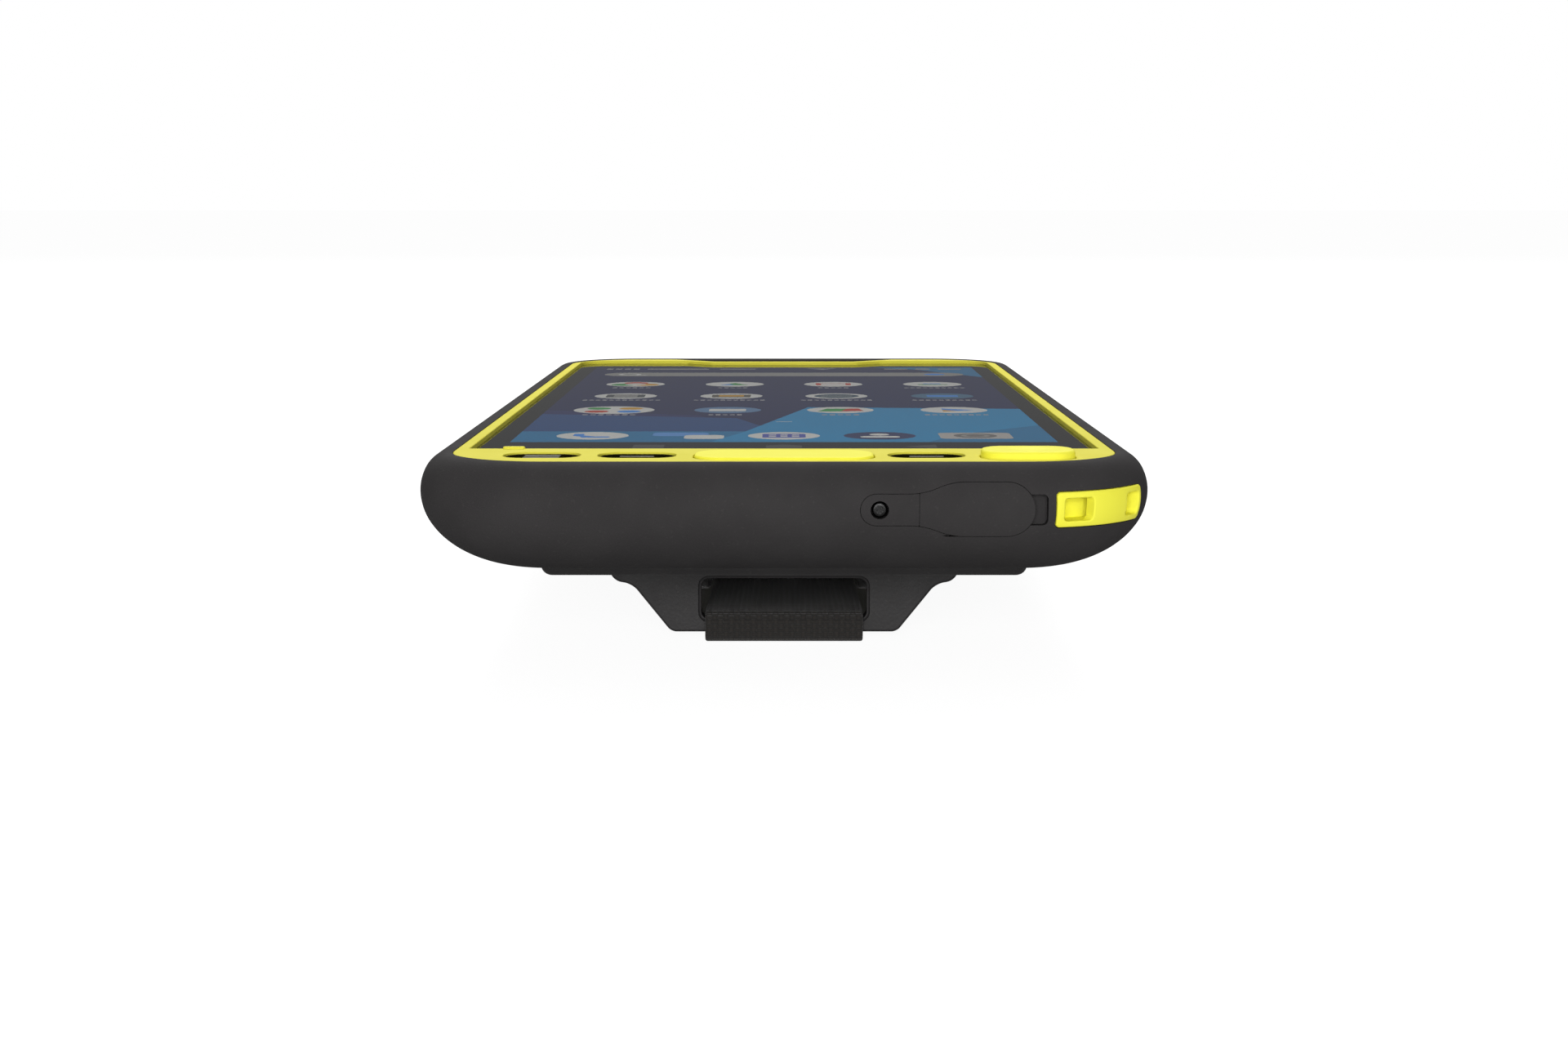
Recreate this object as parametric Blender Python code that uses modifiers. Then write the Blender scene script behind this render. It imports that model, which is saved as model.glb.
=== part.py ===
"""Rugged handheld data collector: a touch-screen computer in a rubber bumper, with five keys below
the screen, keys on both sides, a port cover, a tether anchor and a hand strap on two brackets.

Metres. +X is to the user's right, +Y towards the earpiece end, +Z out of the screen. The origin is
on the surface that the strap rests on, under the middle of the body.
"""

import math

import bmesh
import bpy
from mathutils import Matrix, Vector

# ---------------------------------------------------------------- driving dimensions, metres
BODY_LENGTH = 0.1743
BODY_WIDTH = 0.0851
CORNER_RADIUS = 0.0154         # plan radius of the bumper's outer corners
BACK_DROP = 0.0127             # from the glass face down to the bumper's back
WIDEST_DROP = 0.0039           # from the glass face down to the bumper's widest line
RIM_HEIGHT = 0.00065           # bumper rim above the glass face
SHOULDER = 0.0034              # how far the rim stands in from the widest line
BELLY = CORNER_RADIUS - 0.0029 # how far the lower curve reaches in before the back is flat
BUMPER_WALL = 0.0036
BUMPER_FLOOR = 0.0019          # rubber thickness under the housing
BACK_OPENING_INSET = BELLY + 0.0011  # edge of the bumper's opening for the back plate
GAP = 0.00025                  # between pieces that meet
SEAM = 0.00015                 # between pieces that meet in a visible seam

BEZEL_HEIGHT = 0.0005          # bezel face above the glass face
BEZEL_DEPTH = 0.0032           # bezel underside below the glass face
GLASS_SIDE_INSET = 0.0051      # body side to the edge of the glass opening
GLASS_NEAR_INSET = 0.0180
GLASS_FAR_INSET = 0.0072
GLASS_FAR_RADIUS = 0.0045
GLASS_THICKNESS = 0.0011
SEAL_THICKNESS = 0.0004
SEAL_WIDTH = 0.0012
GLASS_LEDGE = 0.0016           # width of the ledge that the glass is bonded to
PANEL_THICKNESS = 0.0015
PANEL_FAR_INSET = 0.0155
EARPIECE_WIDE = 0.0402         # earpiece recess at the bumper
EARPIECE_NARROW = 0.0258       # earpiece recess at the glass
EARPIECE_DEPTH = 0.0054
EARPIECE_STRIP = 0.0013        # bezel strip between the recess and the glass
EARPIECE_SLOT_PITCH = 0.0030
EARPIECE_SLOT_WIDTH = 0.0014
EARPIECE_SPEAKER_HALF = 0.0075
FRONT_CAMERA_X = -0.0245
FRONT_CAMERA_RADIUS = 0.0017
GRILLE_DROP = 0.0005
GRILLE_THICKNESS = 0.0009

KEY_TRAVEL = 0.0004
KEY_FLANGE = 0.0006            # thickness, and how far it stands out, of a key's retaining flange
CHIN_KEY_ROW = 0.0113          # from the near end to the middle of the dark keys
HOME_KEY_ROW = 0.0102
CORNER_KEY_ROW = 0.0096
OUTER_KEY_INSET = 0.0146       # body side to the middle of the outermost keys
KEY_SPACING = 0.0023           # bezel left between a dark inner key and its neighbours
RIGHT_KEY_EXTRA = 0.0009       # the right key stands nearer to the home key by this
DARK_KEY_SIZE = (0.0086, 0.0056)
HOME_KEY_SIZE = (0.0206, 0.0084)
CORNER_KEY_SIZE = (0.0107, 0.0070)
DARK_KEY_DROP = 0.0002         # below the bezel face
HOME_KEY_RISE = 0.0003         # above the bezel face
CORNER_KEY_RISE = 0.0009
CORNER_KEY_DISH = 0.0003
DOME_RADIUS = 0.0020

CHASSIS_TOP = 0.0037           # below the glass face, as are the next depths
CHASSIS_SKIN = 0.0009
CHASSIS_BOTTOM = 0.0070
CHASSIS_WALL = 0.0014
HOUSING_TOP = 0.0073
HOUSING_WALL = 0.0012
HOUSING_BOTTOM = 0.0122
BACK_PLATE_PROUD = 0.0015      # below the bumper's back
BACK_PLATE_RADIUS = 0.0015
BACK_PLATE_BEVEL = 0.0012

BOARD_THICKNESS = 0.0010
MAIN_BOARD_LENGTH = 0.0430
CHARGE_BOARD_SIZE = (0.0260, 0.0170)
BATTERY_NEAR_INSET = 0.0290
FLEX_THICKNESS = 0.0003
PROCESSOR_HALF = 0.0060
SHIELD_SPAN = (-0.0290, -0.0085)
SHIELD_HEIGHT = 0.0018
ANTENNA_X = 0.0145
ANTENNA_SIZE = 0.0120
ANTENNA_HEIGHT = 0.0022
SPEAKER_SPAN = (-0.0310, -0.0080)
SPEAKER_HEIGHT = 0.0030
SOUND_SLOT_PITCH = 0.0022
SOUND_SLOT_SIZE = (0.0012, 0.0060)
SOUND_SLOTS_AT = (-0.0170, 0.0090)   # from the middle plane, and from the opening's near edge
MOTOR_AT = (-0.0028, 0.0165)
MOTOR_RADIUS = 0.0040
MOTOR_HEIGHT = 0.0026

SIDE_KEY_HEIGHT = 0.0050
SIDE_KEY_DROP = 0.0042         # glass face down to the middle of the side keys
SIDE_KEY_PROUD = 0.0003
VOLUME_KEY_LENGTH = 0.0240
POWER_KEY_LENGTH = 0.0130
SIDE_KEY_FAR_INSET = 0.0560    # far end to the middle of the volume and power keys
ACTION_KEY_PITCH = 0.0270      # volume or power key to the action key beside it
ROCKER_PIVOT_INSET = 0.0026    # body side to the volume key's pivot line

PORT_FOLD = 0.0150             # middle plane to the cover's fold line
PORT_TAB_START = 0.0085
PORT_FLAP_END = 0.0278
PORT_NOTCH_END = 0.0293
PORT_DROP = 0.0044             # glass face down to the middle of the port cover
PORT_TAB_HALF = 0.00175
PORT_FLAP_HALF = 0.00305
PORT_WIDEN = (0.0154, 0.0187)  # where the cover widens from tab to flap
PORT_COVER_DEPTH = 0.0024
PORT_SCREW_AT = 0.0106
PORT_SCREW_RADIUS = 0.00095
PORT_PLUG_DEPTH = 0.0009
PORT_PLUG_HALF = (0.0036, 0.0012)
PORT_PLUG_CLEARANCE = 0.0008
PORT_SCREW_SHANK = 0.0006      # radius
PORT_SCREW_SUNK = 0.0003       # head below the end face
SOCKET_SIZE = (0.0090, 0.0072, 0.0032)
SOCKET_AT = 0.0208             # middle plane to the middle of the socket
SOCKET_TOP = 0.0039
SOCKET_WALL = 0.0003

ANCHOR_TURN = (11.6, 61.5)     # degrees round the near right corner, from the end towards the side
ANCHOR_WINDOWS = ((15.1, 28.7), (48.5, 58.9))
ANCHOR_HEIGHT = 0.0040
ANCHOR_DROP = 0.00445
ANCHOR_PROUD = 0.00015
ANCHOR_BAR = 0.0013
ANCHOR_CHANNEL = (0.0016, 0.0026)   # depth and height of the tether's channel

WEBBING_WIDTH = 0.0200
WEBBING_THICKNESS = 0.0009
BRACKET_HEIGHT = 0.01025       # back plate to the bracket's lowest edge
BRACKET_EAR_WIDTH = 0.0443
BRACKET_EAR_HEIGHT = 0.0041
BRACKET_SLOPE_TOP = 0.0385     # width where the slope leaves the ears
BRACKET_FOOT_WIDTH = 0.0287
BRACKET_WALL = 0.0032
BRACKET_FLANGE = 0.0190        # length of the base along the body
BRACKET_BAR = 0.0016           # height of the bar under the slot
SLOT_HEIGHT = 0.0053
SLOT_PLAY = 0.0011             # slot wider than the webbing
STRAP_BEND_RADIUS = 0.0040
NEAR_BRACKET_INSET = 0.0336    # near end to the near bracket's outer face
FAR_BRACKET_INSET = 0.0372
BRACKET_SCREW_AT = (0.0160, 0.0115)  # from the middle plane, and from the bracket's outer face
SCREW_SHANK_RADIUS = 0.0010
SCREW_HEAD_RADIUS = 0.0019
SCREW_HEAD_HEIGHT = 0.0012
CASE_SCREW_INSET = (0.0182, 0.0192)  # body side, and body end, to a case screw

PAD_WIDTH = 0.0400
PAD_THICKNESS = 0.0034         # over the strap
PAD_FOOT_Z = 0.00015           # lowest edge of the pad, beside the strap
PAD_RADIUS = 0.0120
PAD_END_CLEARANCE = 0.0335     # from a bracket's outer face to the pad

CAMERA_FAR_INSET = 0.0245
CAMERA_WINDOW_RADIUS = 0.0058
CAMERA_WINDOW_THICKNESS = 0.0008
WINDOW_LEDGE = 0.0008          # what the window rests on, all round
CAMERA_BODY_HALF = 0.0048
CAMERA_BARREL_RADIUS = 0.0036
FLASH_OFFSET = 0.0118
FLASH_RADIUS = 0.0020

ROUND_STEPS = 6                # straight steps in a quarter-round corner

# ---------------------------------------------------------------- levels worked out from them
SIDE = BODY_WIDTH / 2
NEAR = -BODY_LENGTH / 2
FAR = BODY_LENGTH / 2
BRACKET_FOOT_Z = WEBBING_THICKNESS + GAP
BRACKET_TOP_Z = BRACKET_FOOT_Z + BRACKET_HEIGHT
BACK_PLATE_Z = BRACKET_TOP_Z + GAP
BACK_Z = BACK_PLATE_Z + BACK_PLATE_PROUD
GLASS_Z = BACK_Z + BACK_DROP
WIDEST_Z = GLASS_Z - WIDEST_DROP
BEZEL_INSET = BUMPER_WALL + GAP + 0.00005
BEZEL_TOP_Z = GLASS_Z + BEZEL_HEIGHT
BEZEL_BOTTOM_Z = GLASS_Z - BEZEL_DEPTH
GLASS_HALF_WIDTH = SIDE - GLASS_SIDE_INSET
GLASS_NEAR_Y = NEAR + GLASS_NEAR_INSET
GLASS_FAR_Y = FAR - GLASS_FAR_INSET
LEDGE_Z = GLASS_Z - GLASS_THICKNESS - SEAL_THICKNESS - 2 * SEAM
EARPIECE_NEAR_Y = FAR - BEZEL_INSET - EARPIECE_DEPTH
CHASSIS_INSET = BUMPER_WALL + GAP
HOUSING_INSET = BUMPER_WALL + GAP
STEP_INSET = BACK_OPENING_INSET + GAP
CAVITY_INSET = STEP_INSET + HOUSING_WALL
CHASSIS_TOP_Z = GLASS_Z - CHASSIS_TOP
INSIDE_TOP_Z = CHASSIS_TOP_Z - CHASSIS_SKIN - GAP
HOUSING_BOTTOM_Z = GLASS_Z - HOUSING_BOTTOM
CAVITY_FLOOR_Z = HOUSING_BOTTOM_Z + HOUSING_WALL
KEY_FOOT_Z = BEZEL_BOTTOM_Z + 0.0005
OUTER_KEY_X = SIDE - OUTER_KEY_INSET
MAIN_BOARD_FAR_Y = FAR - CHASSIS_INSET - CHASSIS_WALL - 0.0020
MAIN_BOARD_NEAR_Y = MAIN_BOARD_FAR_Y - MAIN_BOARD_LENGTH
NEAR_BRACKET_Y = NEAR + NEAR_BRACKET_INSET
FAR_BRACKET_Y = FAR - FAR_BRACKET_INSET
BAR_TOP_Z = BRACKET_FOOT_Z + BRACKET_BAR
SLOT_TOP_Z = BAR_TOP_Z + SLOT_HEIGHT
STRAP_Z = 2 * WEBBING_THICKNESS + GAP
CAMERA_Y = FAR - CAMERA_FAR_INSET


# ---------------------------------------------------------------- scene and materials
def clear_scene():
    for obj in list(bpy.data.objects):
        bpy.data.objects.remove(obj, do_unlink=True)


def make_collection(name, hidden=False):
    collection = bpy.data.collections.new(name)
    bpy.context.scene.collection.children.link(collection)
    collection.hide_render = hidden
    return collection


clear_scene()
PARTS = make_collection("data_collector")
CUTTERS = make_collection("cutters", hidden=True)


def make_material(name, colour, roughness, metallic=0.0):
    material = bpy.data.materials.new(name)
    material.use_nodes = True
    shader = material.node_tree.nodes["Principled BSDF"]
    shader.inputs["Base Color"].default_value = (*colour, 1.0)
    shader.inputs["Roughness"].default_value = roughness
    shader.inputs["Metallic"].default_value = metallic
    material.diffuse_color = (*colour, 1.0)
    return material


CHARCOAL_RUBBER = make_material("charcoal_rubber", (0.040, 0.038, 0.038), 0.75)
YELLOW_PLASTIC = make_material("yellow_plastic", (0.78, 0.74, 0.06), 0.45)
BRIGHT_YELLOW = make_material("bright_yellow_plastic", (0.95, 0.90, 0.06), 0.40)
DARK_KEY_PLASTIC = make_material("dark_key_plastic", (0.030, 0.029, 0.012), 0.50)
CHARCOAL_PLASTIC = make_material("charcoal_plastic", (0.035, 0.034, 0.034), 0.60)
GREY_MESH = make_material("grey_grille", (0.15, 0.15, 0.13), 0.55)
SCREEN_GLASS = make_material("screen_glass", (0.06, 0.06, 0.06), 0.08)
DISPLAY_BLACK = make_material("display_panel", (0.05, 0.12, 0.18), 0.30)
MAGNESIUM = make_material("magnesium", (0.45, 0.45, 0.46), 0.45, 1.0)
BOARD_GREEN = make_material("circuit_board", (0.02, 0.10, 0.05), 0.50)
BRIGHT_STEEL = make_material("bright_steel", (0.60, 0.60, 0.60), 0.30, 1.0)
BLACK_STEEL = make_material("black_steel", (0.03, 0.03, 0.03), 0.35, 1.0)
BATTERY_WRAP = make_material("battery_wrap", (0.03, 0.03, 0.04), 0.45)
SEAL_RUBBER = make_material("seal_rubber", (0.02, 0.02, 0.02), 0.80)
CERAMIC = make_material("antenna_ceramic", (0.55, 0.50, 0.40), 0.60)
FLEX_AMBER = make_material("flex_film", (0.45, 0.20, 0.03), 0.40)
WOVEN_BLACK = make_material("woven_black", (0.025, 0.023, 0.020), 0.90)
LENS_GLASS = make_material("lens_glass", (0.02, 0.02, 0.03), 0.05)


# ---------------------------------------------------------------- outlines
def arc(centre, radii, start, end, steps):
    """Points on an ellipse, between two angles in degrees."""
    turns = [math.radians(start + (end - start) * i / steps) for i in range(steps + 1)]
    return [(centre[0] + radii[0] * math.cos(a), centre[1] + radii[1] * math.sin(a)) for a in turns]


def rounded(corners, steps=ROUND_STEPS):
    """A polygon's points, each corner (x, y, radius) turned into an arc."""
    points = []
    for i, (x, y, radius) in enumerate(corners):
        here = Vector((x, y))
        if radius <= 0:
            points.append((x, y))
            continue
        before = (Vector(corners[i - 1][:2]) - here).normalized()
        after = (Vector(corners[(i + 1) % len(corners)][:2]) - here).normalized()
        half = before.angle(after) / 2
        centre = here + (before + after).normalized() * (radius / math.sin(half))
        start = here + before * (radius / math.tan(half)) - centre
        end = here + after * (radius / math.tan(half)) - centre
        first = math.atan2(start.y, start.x)
        turn = (math.atan2(end.y, end.x) - first + math.pi) % (2 * math.pi) - math.pi
        for k in range(steps + 1):
            a = first + turn * k / steps
            points.append((centre.x + radius * math.cos(a), centre.y + radius * math.sin(a)))
    return points


def rectangle(x0, x1, y0, y1, radius=0.0, steps=ROUND_STEPS):
    return rounded([(x0, y0, radius), (x1, y0, radius), (x1, y1, radius), (x0, y1, radius)], steps)


def inset_rectangle(inset, radius=None, steps=ROUND_STEPS):
    """The body's plan outline, moved in by inset."""
    if radius is None:
        radius = CORNER_RADIUS - inset
    return rectangle(inset - SIDE, SIDE - inset, NEAR + inset, FAR - inset, radius, steps)


def circle(x, y, radius, steps=16):
    return arc((x, y), (radius, radius), 0, 360 * (steps - 1) / steps, steps - 1)


def sector(centre, inner, outer, start, end, steps):
    """A ring's sector. Angles are in degrees from -Y towards +X."""
    return (arc(centre, (outer, outer), start - 90, end - 90, steps)
            + arc(centre, (inner, inner), end - 90, start - 90, steps))


# ---------------------------------------------------------------- solids
PLANES = {
    "XY": Matrix.Identity(4),
    "XZ": Matrix(((1, 0, 0, 0), (0, 0, -1, 0), (0, 1, 0, 0), (0, 0, 0, 1))),
    "YZ": Matrix(((0, 0, 1, 0), (1, 0, 0, 0), (0, 1, 0, 0), (0, 0, 0, 1))),
}


def outline_curve(name, outlines):
    curve = bpy.data.curves.new(name, "CURVE")
    curve.dimensions = "2D"
    for outline in outlines:
        spline = curve.splines.new("POLY")
        spline.points.add(len(outline) - 1)
        for point, (x, y) in zip(spline.points, outline):
            point.co = (x, y, 0.0, 1.0)
        spline.use_cyclic_u = True
    return curve


def finish(obj, material, collection=PARTS):
    for other in list(obj.users_collection):
        other.objects.unlink(obj)
    collection.objects.link(obj)
    if material:
        obj.data.materials.clear()
        obj.data.materials.append(material)
    if collection is CUTTERS:
        obj.hide_render = True
        obj.display_type = "WIRE"
    return obj


def to_mesh(obj, whole_caps=False):
    """The curve object turned into a mesh object in the same place, its caps welded on."""
    bpy.context.view_layer.update()
    evaluated = obj.evaluated_get(bpy.context.evaluated_depsgraph_get())
    mesh = bpy.data.meshes.new_from_object(evaluated)
    shape = bmesh.new()
    shape.from_mesh(mesh)
    bmesh.ops.remove_doubles(shape, verts=shape.verts, dist=1e-6)
    if whole_caps:
        bmesh.ops.dissolve_limit(shape, angle_limit=0.001, verts=shape.verts, edges=shape.edges)
    bmesh.ops.recalc_face_normals(shape, faces=shape.faces)
    shape.to_mesh(mesh)
    shape.free()
    mesh.shade_smooth()
    mesh.set_sharp_from_angle(angle=math.radians(35))
    solid = bpy.data.objects.new(obj.name, mesh)
    solid.matrix_world = obj.matrix_world
    name = obj.name
    bpy.data.objects.remove(obj, do_unlink=True)
    solid.name = name
    return solid


def prism(name, outlines, low, high, plane="XY", material=None, bevel=0.0, bevel_low=0.0):
    """A flat outline, or an outline and its holes, extruded from low to high along the third axis.

    bevel rounds both ends' edges, and bevel_low only those of the low end.
    """
    if not isinstance(outlines[0], list):
        outlines = [outlines]
    curve = outline_curve(name, outlines)
    curve.fill_mode = "BOTH"
    curve.extrude = (high - low) / 2
    obj = bpy.data.objects.new(name, curve)
    bpy.context.scene.collection.objects.link(obj)
    middle = (low + high) / 2 * (-1 if plane == "XZ" else 1)
    obj.matrix_world = PLANES[plane] @ Matrix.Translation((0, 0, middle))
    solid = to_mesh(obj, whole_caps=bool(bevel or bevel_low))
    finish(solid, material, PARTS if material else CUTTERS)
    if bevel or bevel_low:
        edge = solid.modifiers.new("edges", "BEVEL")
        edge.width = bevel or bevel_low
        edge.segments = 1 if bevel else 3
        edge.limit_method = "ANGLE" if bevel else "WEIGHT"
        edge.angle_limit = math.radians(50)
        edge.use_clamp_overlap = False
    if bevel_low:
        weigh_low_edges(solid)
    return solid


def weigh_low_edges(obj):
    """Marks the lowest edges of a flat piece for its weighted bevel."""
    mesh = obj.data
    low = min(vertex.co.z for vertex in mesh.vertices)
    weights = mesh.attributes.new("bevel_weight_edge", "FLOAT", "EDGE")
    for edge in mesh.edges:
        flat = all(abs(mesh.vertices[v].co.z - low) < 1e-6 for v in edge.vertices)
        weights.data[edge.index].value = float(flat)


def box(name, x0, x1, y0, y1, z0, z1, material=None, radius=0.0, bevel=0.0):
    return prism(name, rectangle(x0, x1, y0, y1, radius, 4), z0, z1, "XY", material, bevel)


def swept_ring(name, section, material=None, steps=ROUND_STEPS):
    """A closed ring round the body's plan. The section's points are (inset, z)."""
    plan = inset_rectangle(0.0, CORNER_RADIUS, steps)
    path = bpy.data.objects.new(name, outline_curve(name, [plan]))
    profile = bpy.data.objects.new(name + "_section", outline_curve(name + "_section", [section]))
    for obj in (path, profile):
        bpy.context.scene.collection.objects.link(obj)
    path.data.bevel_mode = "OBJECT"
    path.data.bevel_object = profile
    path.data.fill_mode = "NONE"
    solid = finish(to_mesh(path), material, PARTS if material else CUTTERS)
    bpy.data.objects.remove(profile, do_unlink=True)
    return solid


def combine(target, operation, tools):
    for tool in tools:
        finish(tool, None, CUTTERS)
        boolean = target.modifiers.new(operation.lower() + "_" + tool.name, "BOOLEAN")
        boolean.operation = operation
        boolean.object = tool
        boolean.solver = "EXACT"
    return target


def cut(target, *tools):
    return combine(target, "DIFFERENCE", tools)


def add(target, *tools):
    return combine(target, "UNION", tools)


def keep(target, *tools):
    return combine(target, "INTERSECT", tools)


def set_origin(obj, point):
    """Moves the object's origin to a world point and leaves the shape where it is."""
    to = Matrix.Translation(Vector(point))
    obj.data.transform(to.inverted() @ obj.matrix_world)
    obj.matrix_world = to
    return obj


def screw(name, x, y, head_z, length, up=1):
    """A countersunk-seat screw along Z: its head's outer face is at head_z, its shank runs inwards."""
    head_end = head_z + up * SCREW_HEAD_HEIGHT
    solid = prism(name, circle(x, y, SCREW_HEAD_RADIUS), min(head_z, head_end),
                  max(head_z, head_end), "XY", BLACK_STEEL)
    inside = head_z + up * SCREW_HEAD_HEIGHT / 2
    tip = head_z + up * length
    shank = prism(name + "_shank", circle(x, y, SCREW_SHANK_RADIUS, 10), min(inside, tip),
                  max(inside, tip))
    drive_end = head_z + up * SCREW_HEAD_HEIGHT * 0.6
    drive = prism(name + "_drive", star(x, y, SCREW_HEAD_RADIUS * 0.5),
                  min(head_z - up * GAP, drive_end), max(head_z - up * GAP, drive_end))
    return cut(add(solid, shank), drive)


def star(x, y, radius):
    """A six-lobed driver recess."""
    points = []
    for i in range(12):
        a = math.radians(30 * i)
        r = radius * (0.84 + 0.16 * math.cos(6 * a))
        points.append((x + r * math.cos(a), y + r * math.sin(a)))
    return points


def screw_hole(name, x, y, face_z, length, up=1):
    """The counterbored hole that a screw goes through, with GAP all round."""
    seat = face_z + up * (SCREW_HEAD_HEIGHT + 2 * GAP)
    outside = face_z - up * GAP
    bore = prism(name + "_seat", circle(x, y, SCREW_HEAD_RADIUS + GAP), min(outside, seat),
                 max(outside, seat))
    tip = face_z + up * length
    hole = prism(name + "_hole", circle(x, y, SCREW_SHANK_RADIUS + GAP, 10), min(outside, tip),
                 max(outside, tip))
    return bore, hole


# ---------------------------------------------------------------- bumper, housing and back plate
def bumper_section(proud=0.0):
    """Outer shoulder and belly, flat back, opening edge, then the inner curve back up to the rim."""
    shoulder = arc((SHOULDER, WIDEST_Z), (SHOULDER + proud, WIDEST_DROP + RIM_HEIGHT + proud),
                   90, 180, 7)
    belly = arc((BELLY, WIDEST_Z), (BELLY + proud, BACK_DROP - WIDEST_DROP + proud), 180, 270, 11)
    inner = inner_curve(BUMPER_FLOOR, BUMPER_WALL, 5)
    rim = (BUMPER_WALL, GLASS_Z + BEZEL_HEIGHT)
    opening = [(BACK_OPENING_INSET, BACK_Z - proud), (BACK_OPENING_INSET, inner[0][1])]
    return shoulder + belly[1:] + opening + inner + [rim]


def inner_curve(thickness, inset, steps):
    """A curve that thickness inside the belly, from its lowest point up to the given inset."""
    radii = (BELLY - thickness, BACK_DROP - WIDEST_DROP - thickness)
    end = 180 + math.degrees(math.acos((BELLY - inset) / radii[0]))
    return arc((BELLY, WIDEST_Z), radii, 270, end, steps)


def corner_centre():
    return (SIDE - CORNER_RADIUS, NEAR + CORNER_RADIUS)


def bumper():
    solid = swept_ring("rubber_bumper", bumper_section(), CHARCOAL_RUBBER)
    turn = math.degrees(SEAM / CORNER_RADIUS)
    inner = CORNER_RADIUS - BUMPER_WALL - GAP
    anchor_well = prism("anchor_well", sector(corner_centre(), inner, CORNER_RADIUS + GAP * 4,
                                              ANCHOR_TURN[0] - turn, ANCHOR_TURN[1] + turn, 12),
                        anchor_z(-1) - SEAM, anchor_z(1) + SEAM)
    cover_well = prism("cover_well", cover_outline(PORT_TAB_START, PORT_FLAP_END, SEAM),
                       NEAR - GAP * 4, NEAR + PORT_COVER_DEPTH + SEAM, "XZ")
    notch = prism("finger_notch", rectangle(PORT_FLAP_END - PORT_FLAP_HALF, PORT_NOTCH_END,
                                            port_z() - PORT_TAB_HALF, port_z() + PORT_TAB_HALF,
                                            0.0006, 3),
                  NEAR - GAP * 4, NEAR + PORT_COVER_DEPTH * 0.75, "XZ")
    cut(solid, anchor_well, cover_well, notch, *port_holes("bumper", NEAR, NEAR + BUMPER_WALL + GAP))
    for name, side, y, length in side_keys():
        well = box(name + "_well", *sorted((side * (SIDE - BUMPER_WALL - GAP), side * BODY_WIDTH)),
                   y - length / 2 - SEAM, y + length / 2 + SEAM,
                   side_key_z() - SIDE_KEY_HEIGHT / 2 - SEAM, side_key_z() + SIDE_KEY_HEIGHT / 2 + SEAM)
        cut(solid, well)
    for side in (-1, 1):
        cut(solid, side_strip("flex_pocket", side, GAP))
    return solid


def anchor_z(end):
    return GLASS_Z - ANCHOR_DROP + end * ANCHOR_HEIGHT / 2


def rear_housing():
    """Hard tub inside the rubber: a curved wall, a step down into the back opening and a floor."""
    outer = inner_curve(BUMPER_FLOOR + GAP, HOUSING_INSET, 5)
    outer = [p for p in outer if p[1] < GLASS_Z - HOUSING_TOP]
    thick = BUMPER_FLOOR + GAP + HOUSING_WALL
    radii = (BELLY - thick, BACK_DROP - WIDEST_DROP - thick)
    top = math.degrees(math.asin((HOUSING_TOP - WIDEST_DROP) / radii[1]))
    inner = arc((BELLY, WIDEST_Z), radii, 180 + top, 270, 5)
    section = ([(HOUSING_INSET, GLASS_Z - HOUSING_TOP)] + outer[::-1]
               + [(STEP_INSET, outer[0][1]), (STEP_INSET, HOUSING_BOTTOM_Z),
                  (CAVITY_INSET, HOUSING_BOTTOM_Z), (CAVITY_INSET, inner[-1][1])] + inner[::-1])
    solid = swept_ring("rear_housing", section, CHARCOAL_PLASTIC, 4)
    floor = prism("housing_floor", inset_rectangle(STEP_INSET + HOUSING_WALL / 2, 0.0009),
                  HOUSING_BOTTOM_Z + 0.0001, CAVITY_FLOOR_Z)
    add(solid, floor)
    lens_hole = prism("camera_hole", circle(0.0, CAMERA_Y, CAMERA_WINDOW_RADIUS - WINDOW_LEDGE),
                      HOUSING_BOTTOM_Z - GAP, CAVITY_FLOOR_Z + GAP)
    flash_hole = prism("flash_hole", circle(FLASH_OFFSET, CAMERA_Y, FLASH_RADIUS),
                       HOUSING_BOTTOM_Z - GAP, CAVITY_FLOOR_Z + GAP)
    cut(solid, lens_hole, flash_hole)
    for i, (x, y) in enumerate(case_screw_places()):
        cut(solid, prism(f"housing_hole_{i}", circle(x, y, SCREW_SHANK_RADIUS + GAP, 10),
                         HOUSING_BOTTOM_Z - GAP, CAVITY_FLOOR_Z + GAP))
    return solid


def case_screw_places():
    x, y = SIDE - CASE_SCREW_INSET[0], FAR - CASE_SCREW_INSET[1]
    return [(-x, -y), (x, -y), (-x, y), (x, y)]


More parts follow.
